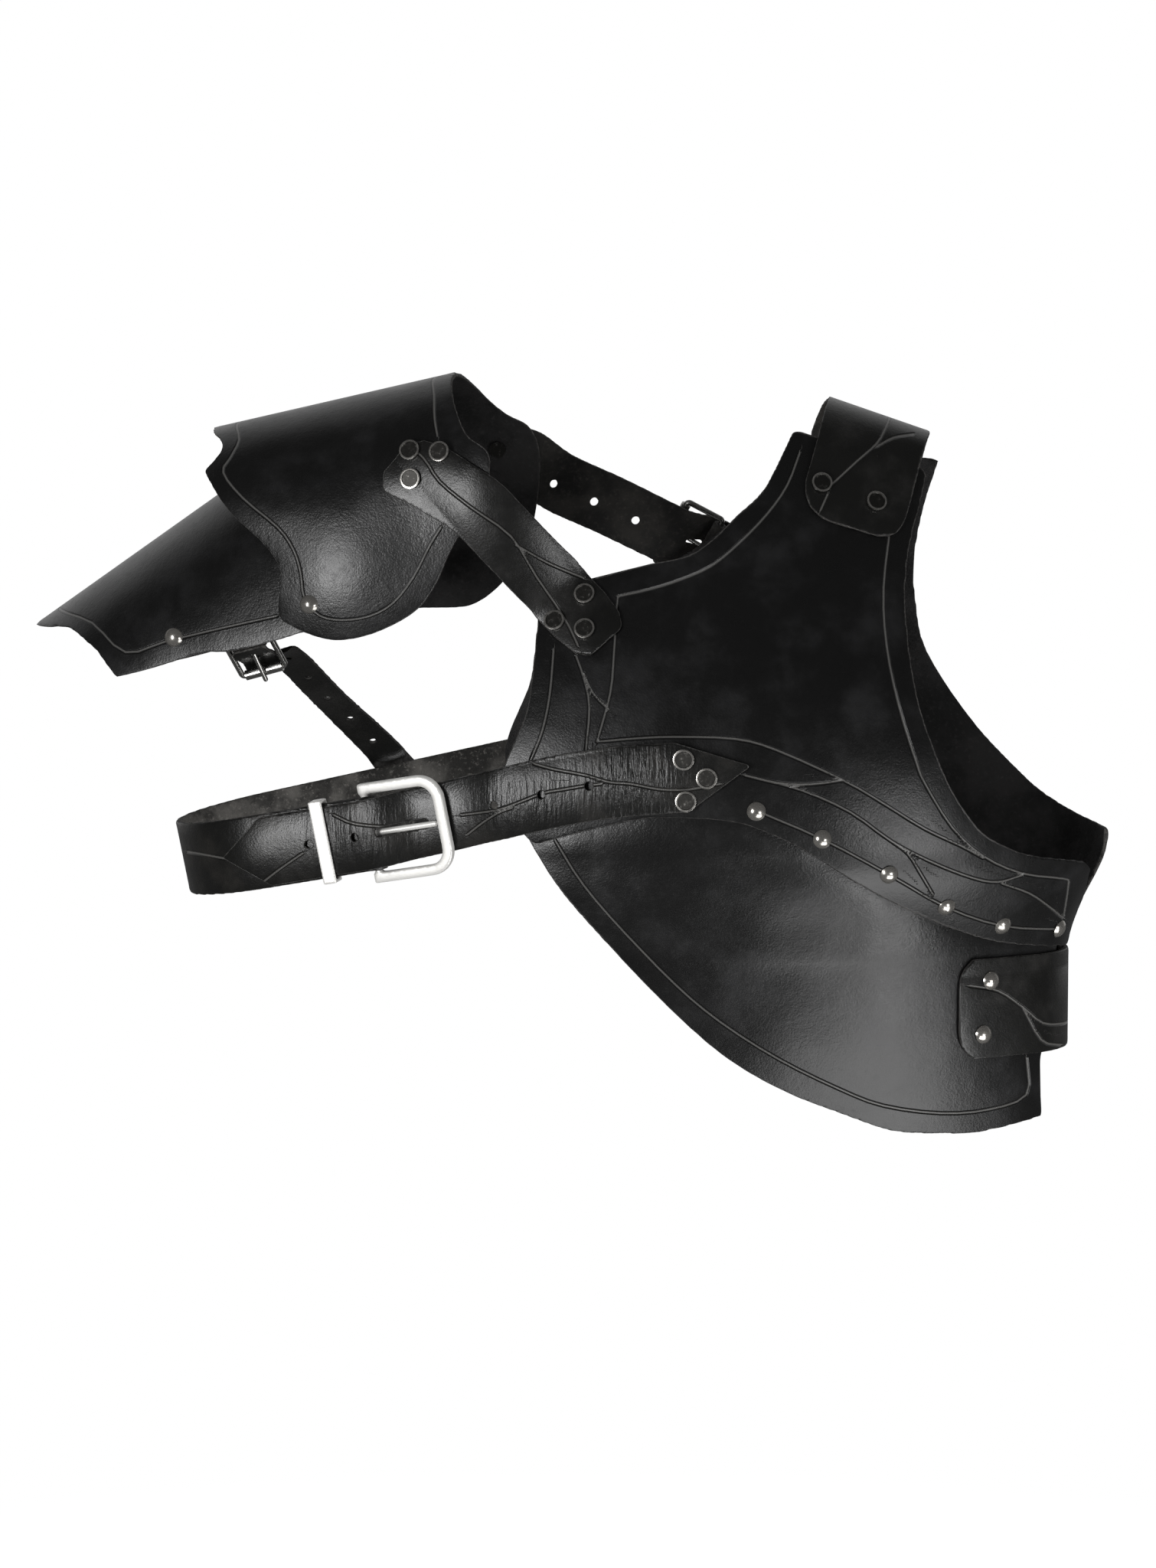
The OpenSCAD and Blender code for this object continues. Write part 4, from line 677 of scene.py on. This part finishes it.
# The own frames of the two pauldron pieces, as the solids are turned
CAP_ARCH = Arch((-295.5, 0, 10.5), (0.95384, -0.202745, 0.221548),
                (-0.216707, 0.0460625, 0.975149), 62, 0)
LAME_ARCH = Arch((-295.066, -0.092, -97.075), (0.805149, -0.17114, 0.567844),
                 (-0.555435, 0.118061, 0.823136), 58.7, 83.5)


# ---- Operators, one for each group of pieces


class CUIRASS_OT_plates(bpy.types.Operator):
    """Moulded breast, belly and back plates with their tooled borders"""

    bl_idname = "cuirass.plates"
    bl_label = "Plates"

    def execute(self, context):
        hides = context.scene.cuirass_leather
        skin = material_of("waxed plate leather")
        outward = round_the_body()
        for node, lines, crowned in (
                ("breast_plate", BREAST_LINES, None),
                ("belly_plate", BELLY_LINES, tucked_belly),
                ("upper_back_plate", UPPER_BACK_LINES, None),
                ("lower_back_plate", LOWER_BACK_LINES, None)):
            hide_piece(node, "moulded_" + node, skin, "cuirass", outward,
                       hides.plate_cell, hides.fairing, lines, crowned=crowned,
                       waist=0.75 if node == "belly_plate" else 0.0)
        return {"FINISHED"}


class CUIRASS_OT_pauldron(bpy.types.Operator):
    """Arched shoulder cap and the lame that hangs from it"""

    bl_idname = "cuirass.pauldron"
    bl_label = "Pauldron"

    def execute(self, context):
        hides = context.scene.cuirass_leather
        skin = material_of("waxed plate leather")
        hide_piece("pauldron_cap", "moulded_pauldron_cap", skin, "pauldron", CAP_ARCH.outward,
                   0.85 * hides.plate_cell, hides.fairing, CAP_LINES, CAP_ARCH.flat,
                   crowned=spot_crown(CAP_ARCH.flat, -2, -90, 40, 38, 6))
        hide_piece("pauldron_lame", "moulded_pauldron_lame", skin, "lame", LAME_ARCH.outward,
                   0.85 * hides.plate_cell, hides.fairing, LAME_LINES, LAME_ARCH.flat,
                   crowned=lambda points: -0.2 * LAME_ARCH.flat(points)[:, 1])
        return {"FINISHED"}


class CUIRASS_OT_straps(bpy.types.Operator):
    """Shoulder, side, pauldron and arm straps, cut from bridle leather"""

    bl_idname = "cuirass.straps"
    bl_label = "Straps"

    def execute(self, context):
        hides = context.scene.cuirass_leather
        skin = material_of("bridle strap leather")
        cell = hides.strap_cell
        hide_piece("shoulder_strap", "cut_shoulder_strap", skin, "cuirass", away_from(0, 0, -0.09),
                   cell, 24, SHOULDER_STRAP_LINES, seen, front_only=True,
                   crowned=strap_crown(seen, (150, 165), (0.945, -0.326), 27))
        hide_piece("side_strap", "cut_side_strap", skin, "cuirass", round_the_body(),
                   cell, 24, SIDE_STRAP_LINES, front_only=True,
                   crowned=strap_crown(laid_out, (240, -122), (0, 1), 20))
        hide_piece("front_pauldron_strap", "cut_front_pauldron_strap", skin,
                   ("pauldron", "cuirass", (-0.245, -0.08, -0.03), (-0.18, -0.1, -0.1)),
                   facing(0, -1, 0.15), cell, 24, FRONT_STRAP_LINES, seen,
                   crowned=strap_crown(seen, (-42, 138), (0.757, 0.654), 15))
        hide_piece("rear_pauldron_strap", "cut_rear_pauldron_strap", skin,
                   ("pauldron", "cuirass", (-0.22, 0.07, -0.03), (-0.13, 0.09, -0.07)),
                   facing(0, 1, 0.2), cell, 24)
        hide_piece("arm_strap", "cut_arm_strap", skin, "arm_link", facing(0, -0.576, -0.817),
                   cell, 24)
        return {"FINISHED"}


class CUIRASS_OT_belt(bpy.types.Operator):
    """Belt tongue and the strap that carries the wide buckle"""

    bl_idname = "cuirass.belt"
    bl_label = "Belt"

    def execute(self, context):
        hides = context.scene.cuirass_leather
        skin = material_of("belt leather with bare flesh side")
        outward = round_the_body(-0.32, -0.077)
        hide_piece("belt_tongue", "cut_belt_tongue", skin, "cuirass", facing(-0.15, -1, 0),
                   hides.strap_cell, hides.fairing, TONGUE_LINES, seen, TONGUE_CREASES,
                   crowned=strap_crown(laid_out, (-109, -19.2), (-0.1908, 0.9816), 20, 1.6))
        hide_piece("belt_buckle_strap", "cut_belt_buckle_strap", skin, "cuirass", outward,
                   hides.strap_cell, hides.fairing, LOOP_LINES, seen, front_only=True,
                   crowned=strap_crown(laid_out, (-109, -19.2), (-0.1908, 0.9816), 20, 1.0))
        return {"FINISHED"}


class CUIRASS_OT_tabs(bpy.types.Operator):
    """Folded buckle tabs and small leather keepers"""

    bl_idname = "cuirass.tabs"
    bl_label = "Tabs and keepers"

    def execute(self, context):
        skin = material_of("bridle strap leather")
        cell = context.scene.cuirass_leather.strap_cell * 0.7
        for node, body, outward in (
                ("shoulder_buckle_tab", "cuirass", facing(0, 1, 0.3)),
                ("shoulder_strap_keeper", "cuirass", facing(0, 1, 0.3)),
                ("side_buckle_tab", "cuirass", facing(0, 1, 0)),
                ("side_strap_keeper", "cuirass", facing(0, 1, 0)),
                ("neck_buckle_tab", "cuirass", facing(0, 1, 0.2)),
                ("neck_strap_keeper", "cuirass", facing(0, 1, 0.2)),
                ("arm_buckle_tab", "arm_link", facing(0, 0.9, -0.3))):
            hide_piece(node, "folded_" + node, skin, body, outward, cell, 10)
        return {"FINISHED"}


FLAT_RIVETS = {
    "shoulder_strap_rivets": "cuirass", "shoulder_tab_rivets": "cuirass", "side_tab_rivets": "cuirass",
    "belt_tongue_rivets": "cuirass", "belt_buckle_strap_rivets": "cuirass", "neck_tab_rivets": "cuirass",
    "front_strap_upper_rivets": "pauldron", "front_strap_lower_rivets": "cuirass",
    "rear_strap_rivets": "pauldron", "arm_strap_rivet": "cuirass",
}
DOME_RIVETS = ("front_band_rivets", "back_band_rivets", "side_strap_rivets", "lame_pivot_rivets",
               "arm_tab_rivet")


# How far a point of a flat face may lie off its plane
FLAT_WITHIN = 0.05 * MM


def islands(shape):
    """The loose parts of an edit mesh, each a list of faces."""
    left = set(shape.faces)
    while left:
        found, edge = [], [left.pop()]
        while edge:
            face = edge.pop()
            found.append(face)
            for side in face.edges:
                for other in side.link_faces:
                    if other in left:
                        left.remove(other)
                        edge.append(other)
        yield found


def cap_of(faces):
    """Middle, outward direction and radius of the flat cap of one rivet."""
    axis = max(faces, key=lambda f: f.calc_area()).normal.copy()
    ends = []
    for way in (axis, -axis):
        top = max(v.co.dot(way) for f in faces for v in f.verts)
        disc = [f for f in faces if f.normal.dot(way) > 0.999
                and all(v.co.dot(way) > top - FLAT_WITHIN for v in f.verts)]
        ends.append((sum(f.calc_area() for f in disc), disc, way))
    area, disc, way = max(ends, key=lambda e: e[0])
    middle = sum((f.calc_center_median() * f.calc_area() for f in disc), Vector()) / area
    return middle, way, math.sqrt(area / math.pi)


def sink_face(piece, cap, rim_width):
    """Insets the flat face of a cap and sinks it inside its rim."""
    middle, way, radius = cap
    mesh = piece.data
    for polygon in mesh.polygons:
        off = polygon.center - middle
        polygon.select = (polygon.normal.dot(way) > 0.999 and off.length < radius
                          and abs(off.dot(way)) < FLAT_WITHIN)
    mesh.edges.foreach_set("select", np.zeros(len(mesh.edges), bool))
    mesh.vertices.foreach_set("select", np.zeros(len(mesh.vertices), bool))
    alone(piece)
    bpy.ops.object.mode_set(mode="EDIT")
    bpy.ops.mesh.select_mode(type="FACE")
    bpy.ops.mesh.dissolve_limited(angle_limit=math.radians(1))
    bpy.ops.mesh.inset(thickness=rim_width * 0.35, depth=0.1 * MM)
    bpy.ops.mesh.inset(thickness=rim_width * 0.65, depth=0.0)
    bpy.ops.mesh.inset(thickness=0.25 * MM, depth=-0.4 * MM)
    bpy.ops.object.mode_set(mode="OBJECT")


def rim_share(points, caps, rim_width):
    """How far out on a cap's rim each point lies, from 0 to 1."""
    rim = np.zeros(len(points))
    for middle, way, radius in caps:
        shifted = points - np.array(middle)
        rise = shifted @ np.array(way)
        off = np.linalg.norm(shifted - rise[:, None] * np.array(way), axis=1)
        close = (off < 1.2 * radius) & (np.abs(rise) < 1.5 * MM)
        share = np.clip((off - radius + 1.1 * rim_width) / (0.3 * MM), 0, 1)
        rim = np.where(close, np.maximum(rim, share), rim)
    return rim


class CUIRASS_OT_rivets(bpy.types.Operator):
    """Flat rivet caps with rolled rims, and polished domes"""

    bl_idname = "cuirass.rivets"
    bl_label = "Rivets"

    def execute(self, context):
        rim_width = context.scene.cuirass_metal.rim_width
        antique = material_of("antique rivet cap")
        for node, body in FLAT_RIVETS.items():
            piece = copy_of(node, "capped_" + node)
            shape = bmesh.new()
            shape.from_mesh(piece.data)
            caps = [cap_of(faces) for faces in islands(shape)]
            shape.free()
            for cap in caps:
                sink_face(piece, cap, rim_width)
            number(piece.data, "rim", rim_share(points_of(piece.data), caps, rim_width))
            alone(piece)
            bpy.ops.object.shade_smooth_by_angle(angle=math.radians(50))
            piece.data.materials.append(antique)
            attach(piece, body)
            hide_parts(node)
        dome = material_of("polished dome")
        for node in DOME_RIVETS:
            repaint(node, dome)
        return {"FINISHED"}


def repaint(node, material):
    """A CAD node keeps its shape and gets this material."""
    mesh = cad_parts[node].data
    mesh.materials.clear()
    mesh.materials.append(material)


class CUIRASS_OT_buckles(bpy.types.Operator):
    """Wide bow buckle with its keeper, and the small roller buckles"""

    bl_idname = "cuirass.buckles"
    bl_label = "Buckles"

    def execute(self, context):
        satin = material_of("satin nickel")
        wire = material_of("bent nickel wire")
        metal = context.scene.cuirass_metal
        # Each round of smoothing by half takes about 0.03 mm off a sharp edge at this cell
        cell, taken_off = 0.5 * MM, 0.03 * MM
        cast_rounds = round(metal.edge_round / taken_off)
        for node, name, body, rounds in (
                ("belt_buckle_frame", "cast_belt_buckle", "belt_frame", cast_rounds),
                ("belt_keeper", "bent_belt_keeper", "belt_loop", cast_rounds // 3)):
            piece = copy_of(node, name)
            applied(piece, "REMESH", mode="VOXEL", voxel_size=cell, adaptivity=0)
            applied(piece, "SMOOTH", factor=0.5, iterations=rounds)
            piece.data.polygons.foreach_set("use_smooth", np.ones(len(piece.data.polygons), bool))
            piece.data.materials.append(satin)
            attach(piece, body)
            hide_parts(node)
        repaint("belt_buckle_prong", satin)
        for place in ("shoulder", "side", "neck", "arm"):
            for part in ("frame", "prong", "roller"):
                repaint(f"{place}_buckle_{part}", wire)
        return {"FINISHED"}


def lamp(name, power, size, place, target):
    light = bpy.data.lights.new(name, "AREA")
    light.shape = "RECTANGLE"
    light.size, light.size_y = size
    light.energy = power
    holder = bpy.data.objects.new(name, light)
    bpy.context.scene.collection.objects.link(holder)
    holder.location = place
    holder.rotation_mode = "QUATERNION"
    holder.rotation_quaternion = (Vector(target) - Vector(place)).to_track_quat("-Z", "Y")
    holder.visible_camera = False
    return holder


class CUIRASS_OT_studio(bpy.types.Operator):
    """Pale floor, soft lamps and the camera of the photograph"""

    bl_idname = "cuirass.studio"
    bl_label = "Studio"

    def execute(self, context):
        scene = context.scene
        studio = scene.cuirass_studio
        scene.view_settings.view_transform = "Standard"
        self.backdrop(scene)
        self.floor(studio.floor_drop)
        lamp("left softbox", studio.left_power, (0.3, 0.62), (-1.04, -1.38, -0.17), (-0.28, 0, -0.15))
        lamp("right softbox", studio.right_power, (0.4, 0.34), (0.8, -1.2, -0.52), (0.0, 0, -0.3))
        lamp("low softbox", studio.low_power, (0.42, 0.26), (0.17, -0.36, -0.56), (0.03, -0.08, -0.24))
        camera = bpy.data.cameras.new("photo camera")
        holder = bpy.data.objects.new("photo camera", camera)
        scene.collection.objects.link(holder)
        ahead = Vector((0, math.cos(CAMERA_RISE), -math.sin(CAMERA_RISE)))
        holder.location = VIEW_CENTRE - CAMERA_DISTANCE * ahead
        holder.rotation_euler = (math.pi / 2 - CAMERA_RISE, 0, 0)
        camera.sensor_width = 36
        camera.lens = 36 * CAMERA_DISTANCE / PICTURE_HEIGHT
        camera.clip_start, camera.clip_end = 0.1, 50
        scene.camera = holder
        return {"FINISHED"}

    def backdrop(self, scene):
        """White behind the object, a dim room in front of it."""
        world = bpy.data.worlds.new("white studio")
        world.use_nodes = True
        tree = world.node_tree
        tree.nodes.clear()
        rays = add(tree, "ShaderNodeLightPath").outputs
        way = add(tree, "ShaderNodeTexCoord").outputs["Generated"]
        behind = add(tree, "ShaderNodeSeparateXYZ", {"Vector": way}).outputs["Y"]
        sheet = between(tree, behind, 0.1, 0.75, 0.07, 0.6)
        mirrored = math_of(tree, "MAXIMUM", rays["Is Glossy Ray"], rays["Is Transmission Ray"])
        level = add(tree, "ShaderNodeMix", {0: mirrored, 2: 0.85, 3: sheet}, data_type="FLOAT").outputs[0]
        level = add(tree, "ShaderNodeMix", {0: rays["Is Camera Ray"], 2: level, 3: 1.0},
                    data_type="FLOAT").outputs[0]
        light = add(tree, "ShaderNodeBackground", {"Color": (1, 1, 1, 1), "Strength": level})
        add(tree, "ShaderNodeOutputWorld", {"Surface": light.outputs[0]})
        scene.world = world

    def floor(self, height):
        """Pale floor that keeps a faint shadow and fades into the white of the backdrop."""
        bpy.ops.object.select_all(action="DESELECT")
        bpy.ops.mesh.primitive_plane_add(size=12, location=(-0.16, 0, height))
        ground = bpy.context.active_object
        ground.name = "studio_floor"
        material, tree = empty_material("matt white card")
        rays = add(tree, "ShaderNodeLightPath").outputs
        place = add(tree, "ShaderNodeTexCoord").outputs["Object"]
        away = add(tree, "ShaderNodeVectorMath", {0: place}, operation="LENGTH").outputs["Value"]
        open_floor = between(tree, away, 0.25, 0.9)
        card = add(tree, "ShaderNodeBsdfDiffuse", {"Color": linear("#e6e6e6")}).outputs[0]
        glow = add(tree, "ShaderNodeEmission", {"Color": (1, 1, 1, 1), "Strength": 0.72}).outputs[0]
        lit = add(tree, "ShaderNodeAddShader", {0: card, 1: glow}).outputs[0]
        white = add(tree, "ShaderNodeEmission", {"Color": (1, 1, 1, 1), "Strength": 1.0}).outputs[0]
        shown = add(tree, "ShaderNodeMixShader", {0: open_floor, 1: lit, 2: white}).outputs[0]
        mirrored = add(tree, "ShaderNodeEmission", {"Color": (1, 1, 1, 1), "Strength": 0.12}).outputs[0]
        plain = add(tree, "ShaderNodeMixShader",
                    {0: rays["Is Glossy Ray"], 1: card, 2: mirrored}).outputs[0]
        either = add(tree, "ShaderNodeMixShader", {0: rays["Is Camera Ray"], 1: plain, 2: shown})
        finish_material(tree, either)
        ground.data.materials.append(material)


class CUIRASS_PT_panel(bpy.types.Panel):
    """Sidebar panel with the sizes, colours and pieces"""

    bl_label = "Leather cuirass"
    bl_idname = "CUIRASS_PT_panel"
    bl_space_type = "VIEW_3D"
    bl_region_type = "UI"
    bl_category = "Cuirass"

    def draw(self, context):
        layout = self.layout
        for title, group in (("Leather", context.scene.cuirass_leather),
                             ("Metal", context.scene.cuirass_metal),
                             ("Studio", context.scene.cuirass_studio)):
            box = layout.box()
            box.label(text=title)
            for name in type(group).__annotations__:
                box.prop(group, name)
        for step in OPERATORS:
            layout.operator(step.bl_idname)


OPERATORS = (
    CUIRASS_OT_plates,
    CUIRASS_OT_pauldron,
    CUIRASS_OT_straps,
    CUIRASS_OT_belt,
    CUIRASS_OT_tabs,
    CUIRASS_OT_rivets,
    CUIRASS_OT_buckles,
    CUIRASS_OT_studio,
)
CLASSES = (LeatherSettings, MetalSettings, StudioSettings) + OPERATORS + (CUIRASS_PT_panel,)


def register():
    for kind in CLASSES:
        bpy.utils.register_class(kind)
    bpy.types.Scene.cuirass_leather = PointerProperty(type=LeatherSettings)
    bpy.types.Scene.cuirass_metal = PointerProperty(type=MetalSettings)
    bpy.types.Scene.cuirass_studio = PointerProperty(type=StudioSettings)


def unregister():
    del bpy.types.Scene.cuirass_studio
    del bpy.types.Scene.cuirass_metal
    del bpy.types.Scene.cuirass_leather
    for kind in reversed(CLASSES):
        bpy.utils.unregister_class(kind)


def main():
    register()
    bpy.ops.cuirass.plates()
    bpy.ops.cuirass.pauldron()
    bpy.ops.cuirass.straps()
    bpy.ops.cuirass.belt()
    bpy.ops.cuirass.tabs()
    bpy.ops.cuirass.rivets()
    bpy.ops.cuirass.buckles()
    bpy.ops.cuirass.studio()


if __name__ == "__main__":
    main()
